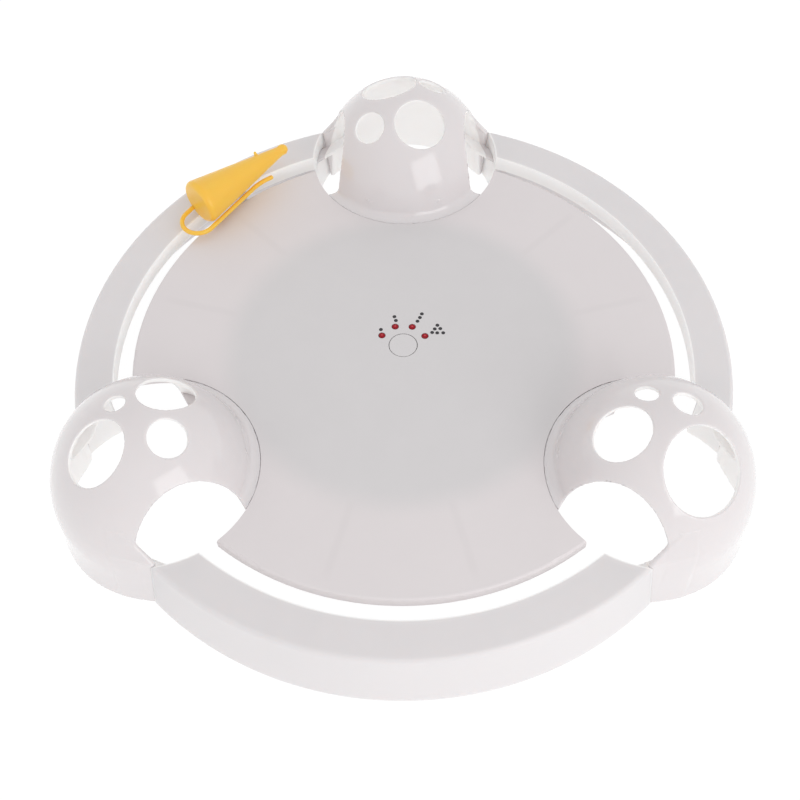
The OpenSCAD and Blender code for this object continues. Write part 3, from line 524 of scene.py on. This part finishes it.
def lamp_finish(name, tone, edge_tone, highlight_tone):
    """Red lens: a bright painted highlight in the middle and darker towards its edge."""
    sheet = Sheet(name)
    place = sheet.place()
    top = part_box("lamps")[1].z
    off = sheet.nearest(place, [panel_point(LAMP_ARC, turn, top) for turn in LAMP_TURNS])
    glow = 1 - off.step(0.8 * MM, 1.6 * MM)
    # Painted highlight: small bright spot at each lens's middle
    highlight = 1 - off.step(0.2 * MM, 0.6 * MM)
    fleck = sheet.noise(place, 1500)
    colour = sheet.mix(glow * 0.8 + fleck * 0.2, edge_tone, tone)
    colour = sheet.mix(highlight * 0.5, colour, highlight_tone)
    return sheet.surface(colour, 0.14 + fleck.sway(0.08), fleck, 0.03, **{"Specular IOR Level": 0.2})


def metal_finish(name, tone, rough, along=(1, 1, 9)):
    """Plated metal with fine drawn lines and dull spots."""
    sheet = Sheet(name)
    place = sheet.place()
    lines = sheet.noise(sheet.stretch(place, along), 1400, 3, 0.6)
    spots = sheet.noise(place, 240, 3)
    colour = sheet.vary(spots * 0.6 + lines * 0.4, tone, 0.86, 1.08)
    gloss = rough + spots.sway(0.2) + lines.sway(0.1)
    return sheet.surface(colour, gloss, lines, 0.03, 0.15 * MM, metal=1)


def board_finish(name, lacquer, copper):
    """Green lacquer over copper tracks on a grid."""
    sheet = Sheet(name)
    place = sheet.place()
    cells = sheet.node("ShaderNodeTexVoronoi", {"distance": "MANHATTAN"},
                       {"Vector": place, "Scale": 260}, "Distance")
    tracks = cells.step(0.34, 0.38) * (1 - cells.step(0.46, 0.50))
    weave = sheet.noise(sheet.stretch(place, (1, 6, 1)), 900)
    colour = sheet.vary(weave, lacquer, 0.85, 1.12)
    colour = sheet.mix(tracks * 0.55, colour, shade(lacquer, 1.7))
    speck = sheet.noise(place, 330, 1).step(0.70, 0.72)
    colour = sheet.mix(speck, colour, copper)
    return sheet.surface(colour, 0.32 + weave.sway(0.12), tracks * 0.6 + weave * 0.4, 0.05)


def sleeve_finish(name, tone, band):
    """Cell sleeve: dark film with a copper coloured band at one end and bare metal tips."""
    sheet = Sheet(name)
    place = sheet.place()
    low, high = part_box("battery_cells")
    size = high - low
    axis = 0 if size.x > size.y else 1
    along = sheet.parts(place)[axis]
    share = (along - low[axis]) / size[axis]
    top = share.step(0.70, 0.705)
    tips = 1 - share.step(0.004, 0.01) * (1 - share.step(0.955, 0.962))
    fleck = sheet.noise(place, 420, 3)
    colour = sheet.vary(fleck, tone, 0.85, 1.15)
    colour = sheet.mix(top, colour, band)
    colour = sheet.mix(tips, colour, TIP_METAL)
    metal = tips * 0.9 + top * 0.3 * (1 - tips)
    return sheet.surface(colour, 0.30 + fleck.sway(0.12), fleck, 0.03, metal=metal)


TIP_METAL = (0.55, 0.55, 0.54)
LAMP_ARC = 11.0 * MM
LAMP_TURNS = (27.5, 68.5, 109.5, 150.5)
PANEL_OFFSET = 2.9 * MM
# Where the round crown of a lens meets its flat middle, in degrees
CROWN_TURN = 84
# Printed dots beside each lamp, in millimetres on the deck
DOT_PLACES = (
    (-10.1, 11.6), (-3.4, 16.7), (-4.1, 18.9), (6.4, 16.3), (7.5, 18.4), (8.4, 20.5),
    (15.4, 14.0), (14.2, 11.9), (16.7, 12.1), (13.0, 9.9), (15.3, 9.7), (18.0, 9.7))


def panel_point(reach, turn, height):
    """Point on the panel round the button's centre."""
    across, along = polar(reach, turn)
    return across, PANEL_OFFSET + along, height


def put_on(material, *nodes):
    """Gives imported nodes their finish."""
    for node in nodes:
        mesh = NODES[node].data
        mesh.materials.clear()
        mesh.materials.append(material)


def soften(node, width):
    """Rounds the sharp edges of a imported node, after its flat faces are made whole."""
    made = NODES[node]
    weld = made.modifiers.new("weld", "WELD")
    weld.merge_threshold = 0.001 * MM
    whole = made.modifiers.new("whole_faces", "DECIMATE")
    whole.decimate_type = "DISSOLVE"
    whole.angle_limit = math.radians(0.4)
    edge = made.modifiers.new("round_edges", "BEVEL")
    edge.width = width
    edge.segments = 3
    edge.limit_method = "ANGLE"
    edge.angle_limit = math.radians(38)
    edge.miter_outer = "MITER_ARC"
    made.modifiers.new("face_weights", "WEIGHTED_NORMAL")


def piece_of(name, mesh, material, body):
    """New piece that rides on a body."""
    made = bpy.data.objects.new(name, mesh)
    bpy.context.scene.collection.objects.link(made)
    mesh.materials.append(material)
    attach(made, body)
    return made


SEEN_RAYS = ("Is Camera Ray", "Is Glossy Ray", "Is Transmission Ray")


class TOY_OT_stage(bpy.types.Operator):
    """Makes the floor, the lights and the camera."""

    bl_idname = "toy.stage"
    bl_label = "Stage"

    def execute(self, context):
        stage = context.scene.toy_stage
        context.scene.view_settings.view_transform = "Standard"
        self.floor(context, stage)
        self.lights(context, stage)
        self.camera(context, stage)
        return {"FINISHED"}

    def floor(self, context, stage):
        """White table that is clear from below."""
        half, low = stage.floor_size / 2, -stage.floor_drop
        corners = [(-half, -half, low), (half, -half, low), (half, half, low), (-half, half, low)]
        mesh = bpy.data.meshes.new("floor")
        mesh.from_pydata(corners, [], [(0, 1, 2, 3)])
        floor = bpy.data.objects.new("floor", mesh)
        context.scene.collection.objects.link(floor)
        sheet = Sheet("floor_white")
        plain = sheet.node("ShaderNodeBsdfDiffuse", None, {"Color": (stage.floor_tone,) * 3})
        bright = sheet.node("ShaderNodeEmission", None, {"Color": (1, 1, 1), "Strength": stage.floor_glow})
        table = sheet.node("ShaderNodeAddShader", None, [bright, plain])
        below = sheet.node("ShaderNodeNewGeometry", output="Backfacing")
        clear = sheet.node("ShaderNodeBsdfTransparent")
        sheet.send(sheet.node("ShaderNodeMixShader", None, [below, table, clear]))
        mesh.materials.append(sheet.material)

    def lights(self, context, stage):
        """Even room, white where it is seen, and a soft box in front."""
        context.scene.world = bpy.data.worlds.new("room")
        sheet = Sheet("room", context.scene.world)
        seen = reduce(Wire.most, [sheet.node("ShaderNodeLightPath", output=ray) for ray in SEEN_RAYS])
        strength = seen * (1 - stage.sky) + stage.sky
        room = sheet.node("ShaderNodeBackground", None, {"Color": (1, 1, 1), "Strength": strength})
        sheet.send(room, "ShaderNodeOutputWorld")
        lamp = bpy.data.lights.new("key", "AREA")
        lamp.shape = "RECTANGLE"
        lamp.size, lamp.size_y = stage.key_size
        lamp.energy = stage.key
        self.aim(context, "key", lamp, stage.key_place)

    def camera(self, context, stage):
        """Camera at the place that the photograph was taken from."""
        lens = bpy.data.cameras.new("camera")
        lens.lens = stage.lens
        lens.sensor_width = stage.frame_width
        lens.shift_x, lens.shift_y = stage.shift
        context.scene.camera = self.aim(context, "camera", lens, stage.eye, stage.roll)

    def aim(self, context, name, data, spot, roll=0.0):
        """Sets a light or the camera at a spot and aims it at the origin."""
        made = bpy.data.objects.new(name, data)
        made.location = spot
        made.rotation_mode = "QUATERNION"
        made.rotation_quaternion = (-spot).to_track_quat("-Z", "Y") @ Quaternion((0, 0, 1), roll)
        context.scene.collection.objects.link(made)
        return made


class TOY_OT_shells(bpy.types.Operator):
    """Finishes the deck, the ring and the drum."""

    bl_idname = "toy.shells"
    bl_label = "Shells"

    def execute(self, context):
        finish, sizes = context.scene.toy_finish, context.scene.toy_sizes
        put_on(deck_finish("deck_plastic", finish.deck, finish.deck_drum_shade), "centre_deck")
        ring = ring_finish("ring_plastic", finish.ring, finish.painted_lit_inside, context.scene.toy_dome)
        put_on(ring, "ring_front", "ring_right", "ring_left")
        for node in ("centre_deck", "ring_front", "ring_right", "ring_left"):
            soften(node, sizes.edge_round)
        base = moulded("base_plastic", finish.base, 0.52, 0.09, sizes.edge_round)
        put_on(base, "base_drum", "battery_door", "gear_cover", "carrier_arm")
        return {"FINISHED"}


# Fine measures of a dome in its own frame: millimetres, and degrees from outwards
DOME_BOX = (-47, -57.5, -1), (46.5, 57.5, 74.5)
COLLAR_GROW, COLLAR_GAP = 0.2, 0.1
BOSS_RADIUS, BOSS_HALF, BOSS_SINK, BOSS_BLEND = 3.4, 4.5, 0.8, 0.5
BOSS_TURNS = (155, 205)
PILOT_RADIUS, PILOT_DEPTH = 1.41, 7
EAR_HALF, EAR_DROP, EAR_SINK, EAR_BLEND = 2.7, 7, 3.1, 0.4
EAR_ROOT_TURN, EAR_KNEE_TURN, EAR_KNEE_IN = 49, 62, 4.5
EAR_TIP_OUT, EAR_TIP_IN = 1, 0.6
EAR_BORE, EAR_BORE_HALF = 1.7, 4
CHEEK_RISE, CHEEK_TURN, CHEEK_TOP_TURN, CHEEK_BLEND = 12, 44, 52, 1.8
CHEEK_GAP, CHEEK_SINK, CHEEK_THIN = 0.05, 0.7, 0.5
FINE_ROUND = 0.3


class TOY_OT_domes(bpy.types.Operator):
    """Builds the three domes with rounded hole rims and filleted cheeks."""

    bl_idname = "toy.domes"
    bl_label = "Domes"

    def execute(self, context):
        finish, dome = context.scene.toy_finish, context.scene.toy_dome
        for node, bearing in DOME_BEARINGS.items():
            points, faces, normals = skin(self.field(dome, PAW_HOLES[node]), *DOME_BOX, dome.step / MM)
            spin = spin_of(math.radians(bearing))
            points = (points + (dome.reach / MM, 0, 0)) @ spin
            mesh = mesh_of(node + "_shell", points, faces, normals @ spin)
            centre = (*polar(dome.reach, bearing), 0)
            plastic = dome_finish(node + "_plastic", finish.dome, finish.painted_lit_inside, centre, dome)
            shell = piece_of(node + "_shell", mesh, plastic, "frame_body")
            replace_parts(shell, node)
        return {"FINISHED"}

    def side(self, dome, reach, height, inset):
        """Field of the turned form: a flared skirt below and half an ellipsoid above."""
        cap, start = dome.cap_radius / MM - inset, dome.cap_start / MM
        rise = dome.height / MM - start - inset
        flare = (dome.foot_radius - dome.cap_radius) / MM
        below = np.maximum(start - height, 0) / start
        skirt = (reach - cap - flare * below ** 2) / np.hypot(1, 2 * flare / start * below)
        return np.where(height > start, oval(reach, height - start, cap, rise), skirt)

    def radius_at(self, dome, height):
        """Outer radius of the cap at a height in millimetres."""
        share = (height - dome.cap_start / MM) / ((dome.height - dome.cap_start) / MM)
        return dome.cap_radius / MM * math.sqrt(1 - share ** 2)

    def corner(self, dome, radius, collar):
        """Where the collar's circle crosses a circle about the deck's centre."""
        reach = dome.reach / MM
        across = (radius ** 2 - reach ** 2 - collar ** 2) / (2 * reach)
        return np.array([across, math.sqrt(collar ** 2 - across ** 2)])

    def field(self, dome, holes):
        """Field of one dome in its own frame, where the first axis points outwards."""
        wall, sheet, rim = dome.wall / MM, dome.sheet / MM, dome.rim_round / MM
        deck = dome.deck_height / MM
        seat = deck - sheet
        deck_radius = self.radius_at(dome, deck)
        collar = deck_radius + dome.collar_reach / MM + COLLAR_GROW
        cove = dome.collar_cove / MM
        half_width, spring = dome.tunnel_width / MM / 2, dome.tunnel_spring / MM
        shift, rise = dome.tunnel_shift / MM, (dome.tunnel_height - dome.tunnel_spring) / MM
        boss_spots = [polar(deck_radius - wall - BOSS_RADIUS + BOSS_SINK, turn) for turn in BOSS_TURNS]
        cheek = self.cheek_levels(dome, deck, deck_radius, collar, wall)
        ear_top = seat - EAR_DROP
        root_reach = self.radius_at(dome, ear_top) - EAR_SINK
        ear_root = polar(root_reach, EAR_ROOT_TURN)
        ear_knee = np.array([shift + half_width - EAR_KNEE_IN, polar(root_reach, EAR_KNEE_TURN)[1]])
        tip_reach = collar + COLLAR_GAP + sheet + BOSS_RADIUS + EAR_TIP_OUT
        ring_middle = (dome.ring_inner + dome.ring_outer) / 2 / MM - EAR_TIP_IN
        ear_tip = self.corner(dome, ring_middle, tip_reach)

        def field(points):
            u, t, z = points.T
            flat, mirrored = points[:, :2], np.stack([u, np.abs(t)], 1)
            reach, from_tip = np.hypot(u, t), np.hypot(*(mirrored - ear_tip).T)
            from_bosses = [np.hypot(*(flat - spot).T) for spot in boss_spots]
            plate = np.maximum(np.maximum(reach - collar, u), np.maximum(z - deck, seat - z))
            solid = cove_join(self.side(dome, reach, z, 0), plate, cove)
            solid = np.maximum(solid, -self.side(dome, reach, z, wall))
            arch = oval(u - shift, z - spring, half_width, rise)
            arch = np.where(z > spring, arch, np.abs(u - shift) - half_width)
            solid = round_cut(solid, arch, rim)
            solid = round_cut(solid, np.maximum(u, z - seat), FINE_ROUND)
            for off in from_bosses:
                boss = np.maximum(off - BOSS_RADIUS, np.abs(z - seat - BOSS_HALF) - BOSS_HALF)
                solid = soft_join(solid, boss, BOSS_BLEND)
            solid = soft_join(solid, self.cheek(dome, mirrored, z, cheek), CHEEK_BLEND)
            ear = np.minimum(rod(mirrored, ear_root, ear_knee, EAR_HALF), from_tip - BOSS_RADIUS)
            ear = np.minimum(ear, rod(mirrored, ear_knee, ear_tip, EAR_HALF))
            ear = round_cut(ear, sheet / 2 - np.abs(z - ear_top + sheet / 2), FINE_ROUND)
            solid = soft_join(solid, ear, EAR_BLEND)
            for hole in holes:
                solid = round_cut(solid, self.paw_hole(dome, points, *hole), rim)
            for off in from_bosses:
                solid = np.maximum(solid, -np.maximum(off - PILOT_RADIUS, z - seat - PILOT_DEPTH))
            solid = np.maximum(solid, -np.maximum(from_tip - EAR_BORE, np.abs(z - ear_top) - EAR_BORE_HALF))
            return np.maximum(solid, -z)
        return field

    def paw_hole(self, dome, points, lean, turn, length, width):
        """Field of an oval bore that leaves the dome's focus."""
        out, up = polar(1, lean)[::-1]
        axis, down = np.array([*polar(out, turn), up]), np.array([*polar(up, turn), -out])
        off = points - (0, 0, dome.paw_focus / MM)
        return np.maximum(oval(off @ down, off @ np.cross(axis, down), length / 2, width / 2), -(off @ axis))

    def cheek_levels(self, dome, deck, deck_radius, collar, wall):
        """Heights of the cheek's levels, and where each starts in the leg and ends at the ring."""
        foot, outer, flare = dome.foot_radius / MM, dome.ring_outer / MM, dome.ring_flare / MM
        top = deck + CHEEK_RISE
        top_reach = self.radius_at(dome, top) - wall * CHEEK_SINK
        inset = dome.cheek / MM + CHEEK_GAP
        ends = np.array([
            (polar(foot - wall / 2, CHEEK_TURN), self.corner(dome, outer + flare - inset, collar - inset)),
            (polar(deck_radius - wall / 2, CHEEK_TURN), self.corner(dome, outer - inset, collar - inset)),
            (polar(top_reach, CHEEK_TURN), polar(top_reach, CHEEK_TOP_TURN))])
        return (0, deck, top), ends

    def cheek(self, dome, flat, height, levels):
        """Field of the cheek: a rounded plate that is thinner in the leg and at its top."""
        heights, rows = levels
        ends = np.stack([np.interp(height, heights, row) for row in rows.reshape(3, 4).T], 1)
        above_deck = np.interp(height, heights, (0, 0, 1))
        start, end = ends[:, :2], ends[:, 2:]
        line, off = end - start, flat - start
        share = np.clip((off * line).sum(1) / (line ** 2).sum(1), 0, 1)
        thick = (1 - CHEEK_THIN * (1 - share)) * (1 - CHEEK_THIN * above_deck) * dome.cheek / MM
        plate = np.linalg.norm(off - share[:, None] * line, axis=1) - thick
        return np.maximum(plate, np.maximum(height - heights[-1], -height))


# Fine measures of the mouse and its tail: millimetres, shares of its size, a tilt in radians, a turn in degrees
MOUSE_BOX = (-27, -13, 33), (31.5, 13, 57.5)
MOUSE_AHEAD = 1
REAR_ROUND, NOSE_NECK, NOSE_BLEND = 3.0, 2.1, 1.2
NUB_ALONG, NUB_OUT, NUB_RISE, NUB_TILT = 0.73, 0.42, 1.3, 0.61
NUB_RADIUS, NUB_BLEND = 0.7, 0.8
POST_BORE, BORE_ROUND = 2.05, 0.2
TAIL_ASIDE, TAIL_BELOW = 0.53, 0.66
TAIL_PLUG, TAIL_GAP, TAIL_NECK = 3, 0.05, 4.8
TAIL_BEND, TAIL_END_TURN, TAIL_CHAMFER, TAIL_SIDES = 26, 65, 0.2, 20


class TOY_OT_mouse(bpy.types.Operator):
    """Builds the mouse and its tail, and finishes its post."""

    bl_idname = "toy.mouse"
    bl_label = "Mouse"

    def execute(self, context):
        finish, mouse = context.scene.toy_finish, context.scene.toy_mouse
        yellow = moulded("yellow_plastic", finish.yellow, 0.34, 0.04, coat=0.1, spread=0.05,
                         **milky(0.5, 2.5, (1.0, 0.7, 0.25)))
        self.set_down("mouse_body", mouse, yellow, *skin(self.field(mouse), *MOUSE_BOX, mouse.step / MM))
        self.set_down("mouse_tail", mouse, yellow, *self.tail(mouse))
        put_on(moulded("post_plastic", finish.base, 0.45, 0.06), "mouse_post")
        return {"FINISHED"}

    def set_down(self, node, mouse, plastic, points, faces, normals=None):
        """Sets a mesh of the mouse's own frame on the track in place of a node."""
        spin = spin_of(mouse.bearing + mouse.turn - math.pi / 2)
        centre = (*polar(mouse.track / MM, math.degrees(mouse.bearing)), 0)
        normals = None if normals is None else normals @ spin
        mesh = mesh_of(node + "_form", points @ spin + centre, faces, normals)
        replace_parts(piece_of(node + "_form", mesh, plastic, "runner"), node)

    def field(self, mouse):
        """Field of the mouse: a cone with a round rear edge, a nose ball and a nub."""
        length, radius, level = mouse.length / MM, mouse.radius / MM, mouse.level / MM
        rear = MOUSE_AHEAD - length / 2
        taper = (radius - NOSE_NECK) / (length - REAR_ROUND)
        nub = np.array([rear + length * NUB_ALONG, 0, level])
        nub_end = nub + (radius * NUB_OUT + NUB_RISE) * np.array([0, math.sin(NUB_TILT), math.cos(NUB_TILT)])
        root, lean = self.tail_root(mouse), spin_of(mouse.tail_lean)[0]

        def field(points):
            x, y, z = points.T
            reach = np.hypot(y, z - level)
            along = x - rear
            cone = (reach - radius + taper * (along - REAR_ROUND)) / math.hypot(1, taper)
            solid = round_cut(np.maximum(cone, along - length), along, REAR_ROUND)
            ball = np.linalg.norm(points - (rear + length, 0, level), axis=1) - mouse.nose / MM
            solid = soft_join(solid, ball, NOSE_BLEND)
            solid = soft_join(solid, rod(points, nub, nub_end, NUB_RADIUS), NUB_BLEND)
            solid = round_cut(solid, np.maximum(np.hypot(x, y) - POST_BORE, z - level), BORE_ROUND)
            off = points - root
            along_tail = off @ lean
            from_tail = np.linalg.norm(off - along_tail[:, None] * lean, axis=1)
            plug = np.maximum(from_tail - mouse.tail_radius / MM - TAIL_GAP,
                              np.abs(along_tail) - TAIL_PLUG - TAIL_GAP)
            return round_cut(solid, plug, BORE_ROUND)
        return field

    def tail_root(self, mouse):
        """Where the tail leaves the mouse's rear."""
        radius, rear = mouse.radius / MM, MOUSE_AHEAD - mouse.length / MM / 2
        return np.array([rear, radius * TAIL_ASIDE, mouse.level / MM - radius * TAIL_BELOW])

    def tail_path(self, mouse):
        """Middle line of the tail: plug, loop, straight run and bent end."""
        loop, run, start = mouse.tail_loop / MM, mouse.tail_run / MM, -TAIL_NECK
        path = [(TAIL_PLUG - k, 0.0) for k in np.linspace(0, TAIL_PLUG + TAIL_NECK, 5)[:-1]]
        path += [(start + loop * math.cos(k), loop * (math.sin(k) - 1))
                 for k in np.linspace(0.5, 1.5, 41) * math.pi]
        path += [(start + k, -2 * loop) for k in np.linspace(0, run, 12)[1:-1]]
        path += [(run + start + TAIL_BEND * math.cos(k), -2 * loop + TAIL_BEND * (math.sin(k) - 1))
                 for k in np.radians(np.linspace(90, TAIL_END_TURN, 12))]
        return np.array(path)

    def tail(self, mouse):
        """Tube along the tail's line, with a chamfered plug and a round tip."""
        path, thick = self.tail_path(mouse), mouse.tail_radius / MM
        way = np.gradient(path, axis=0)
        way /= np.hypot(*way.T)[:, None]
        rows = [(path[0], way[0], thick * (1 - TAIL_CHAMFER)),
                (path[0] + way[0] * thick * TAIL_CHAMFER, way[0], thick)]
        rows += [(spot, step, thick) for spot, step in zip(path[1:], way[1:])]
        rows += [(path[-1] + way[-1] * thick * math.sin(k), way[-1], thick * math.cos(k))
                 for k in np.linspace(0, math.pi / 2, 7)[1:-1]]
        points = []
        for spot, step, radius in rows:
            side = np.array([-step[1], step[0]])
            for turn in np.linspace(0, math.tau, TAIL_SIDES, endpoint=False):
                points.append((*(spot + side * radius * math.cos(turn)), radius * math.sin(turn)))
        points.append((*(path[-1] + way[-1] * thick), 0.0))
        last = (len(rows) - 1) * TAIL_SIDES
        faces = tube_faces(0, len(rows), TAIL_SIDES)
        faces += [(last + k, last + (k + 1) % TAIL_SIDES, last + TAIL_SIDES) for k in range(TAIL_SIDES)]
        faces.append(tuple(range(TAIL_SIDES))[::-1])
        return np.array(points) @ spin_of(mouse.tail_lean) + self.tail_root(mouse), faces


class TOY_OT_panel(bpy.types.Operator):
    """Finishes the button and the lamps, and prints the dots."""

    bl_idname = "toy.panel"
    bl_label = "Panel"

    def execute(self, context):
        finish, sizes = context.scene.toy_finish, context.scene.toy_sizes
        put_on(moulded("button_plastic", finish.button, 0.42, 0.05, 0.3 * MM), "push_button")
        lens = lamp_finish("lamp_lens", finish.lamp, finish.lamp_edge, finish.lamp_highlight)
        low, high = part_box("lamps")
        places = [panel_point(LAMP_ARC, turn, 0) for turn in LAMP_TURNS]
        lenses = self.turned("lamp_lenses", places, self.lens_profile(sizes, low.z, high.z))
        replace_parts(piece_of("lamp_lenses", lenses, lens, "frame_body"), "lamps")
        ink = moulded("dot_ink", finish.ink, 0.55, 0.03, spread=0.12)
        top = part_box("centre_deck")[1].z
        places = [(across * MM, along * MM, top) for across, along in DOT_PLACES]
        dots = self.turned("panel_dots", places, self.dot_profile(sizes))
        piece_of("panel_dots", dots, ink, "frame_body")
        return {"FINISHED"}

    def lens_profile(self, sizes, low, high):
        """Foot on the board, straight side and crown of a lens."""
        foot = low + sizes.lamp_foot
        side = high - sizes.lamp_crown
        crown = [(sizes.lamp_radius * math.cos(turn), side + sizes.lamp_crown * math.sin(turn))
                 for turn in np.radians(np.linspace(0, CROWN_TURN, 9))]
        return [(sizes.lamp_flange, low), (sizes.lamp_flange, foot), (sizes.lamp_radius, foot), *crown]

    def dot_profile(self, sizes):
        """Low crowned disc of ink, set a little into the deck."""
        shares = ((1.0, -0.2), (1.0, 0.35), (0.92, 0.8), (0.6, 1.0))
        return [(sizes.dot_width / 2 * share, sizes.dot_height * height) for share, height in shares]

    def turned(self, name, places, profile, sides=24):
        """Mesh of closed turned forms, one at each place."""
        turns = np.linspace(0, 360, sides, endpoint=False)
        form = np.array([(*polar(radius, turn), height) for radius, height in profile for turn in turns])
        points = np.concatenate([form + place for place in places])
        faces = []
        for start in range(0, len(points), len(form)):
            end = start + len(form)
            faces += tube_faces(start, len(profile), sides)
            faces += [tuple(range(end - sides, end)), tuple(range(start, start + sides))[::-1]]
        return mesh_of(name, points / MM, faces)


class TOY_OT_drive(bpy.types.Operator):
    """Finishes the motor, the gears and the turning ring."""

    bl_idname = "toy.drive"
    bl_label = "Drive"

    def execute(self, context):
        finish = context.scene.toy_finish
        gear = moulded("gear_plastic", finish.gear, 0.42, 0.06, 0.2 * MM)
        put_on(gear, "first_gear", "drive_gear", "turning_ring")
        put_on(metal_finish("steel", finish.steel, 0.32), "motor_can", "motor_shaft", "gear_axles")
        put_on(metal_finish("brass", finish.brass, 0.30), "motor_pinion")
        return {"FINISHED"}


class TOY_OT_power(bpy.types.Operator):
    """Finishes the cells, their contacts and the circuit board."""

    bl_idname = "toy.power"
    bl_label = "Power"

    def execute(self, context):
        finish = context.scene.toy_finish
        put_on(sleeve_finish("cell_sleeve", finish.sleeve, finish.copper), "battery_cells")
        put_on(metal_finish("contact_steel", finish.steel, 0.28, (9, 1, 1)), "battery_contacts")
        put_on(board_finish("board", finish.board, finish.copper), "circuit_board")
        black = moulded("black_plastic", finish.black, 0.5, 0.05, 0.15 * MM, spread=0.15)
        put_on(black, "control_chip", "switch_body")
        put_on(moulded("plunger_plastic", finish.gear, 0.45, 0.04), "switch_plunger")
        return {"FINISHED"}


class TOY_OT_fasteners(bpy.types.Operator):
    """Finishes the screws."""

    bl_idname = "toy.fasteners"
    bl_label = "Fasteners"

    def execute(self, context):
        finish = context.scene.toy_finish
        plated = metal_finish("screw_steel", finish.steel, 0.36, (3, 3, 1))
        put_on(plated, "door_screw", "cover_screws", "arm_screws", "board_screws", "deck_screws",
               "dome_screws", "ring_screws")
        return {"FINISHED"}


class TOY_PT_panel(bpy.types.Panel):
    """Lists the steps and their values."""

    bl_idname = "TOY_PT_panel"
    bl_label = "Mouse turntable toy"
    bl_space_type = "VIEW_3D"
    bl_region_type = "UI"
    bl_category = "Toy"

    def draw(self, context):
        for step in STEPS:
            self.layout.operator(step.bl_idname)
        for key in GROUPS:
            group = getattr(context.scene, key)
            box = self.layout.box()
            for name in group.__annotations__:
                box.prop(group, name)


GROUPS = {"toy_finish": ToyFinish, "toy_sizes": ToySizes, "toy_dome": ToyDome, "toy_mouse": ToyMouse,
          "toy_stage": ToyStage}
STEPS = (TOY_OT_stage, TOY_OT_shells, TOY_OT_domes, TOY_OT_mouse, TOY_OT_panel, TOY_OT_drive,
         TOY_OT_power, TOY_OT_fasteners)
CLASSES = (*GROUPS.values(), *STEPS, TOY_PT_panel)


def register():
    for made in CLASSES:
        bpy.utils.register_class(made)
    for key, group in GROUPS.items():
        setattr(bpy.types.Scene, key, bpy.props.PointerProperty(type=group))


def unregister():
    for key in GROUPS:
        delattr(bpy.types.Scene, key)
    for made in reversed(CLASSES):
        bpy.utils.unregister_class(made)


def main():
    register()
    bpy.ops.toy.stage()
    bpy.ops.toy.shells()
    bpy.ops.toy.domes()
    bpy.ops.toy.mouse()
    bpy.ops.toy.panel()
    bpy.ops.toy.drive()
    bpy.ops.toy.power()
    bpy.ops.toy.fasteners()


if __name__ == "__main__":
    main()
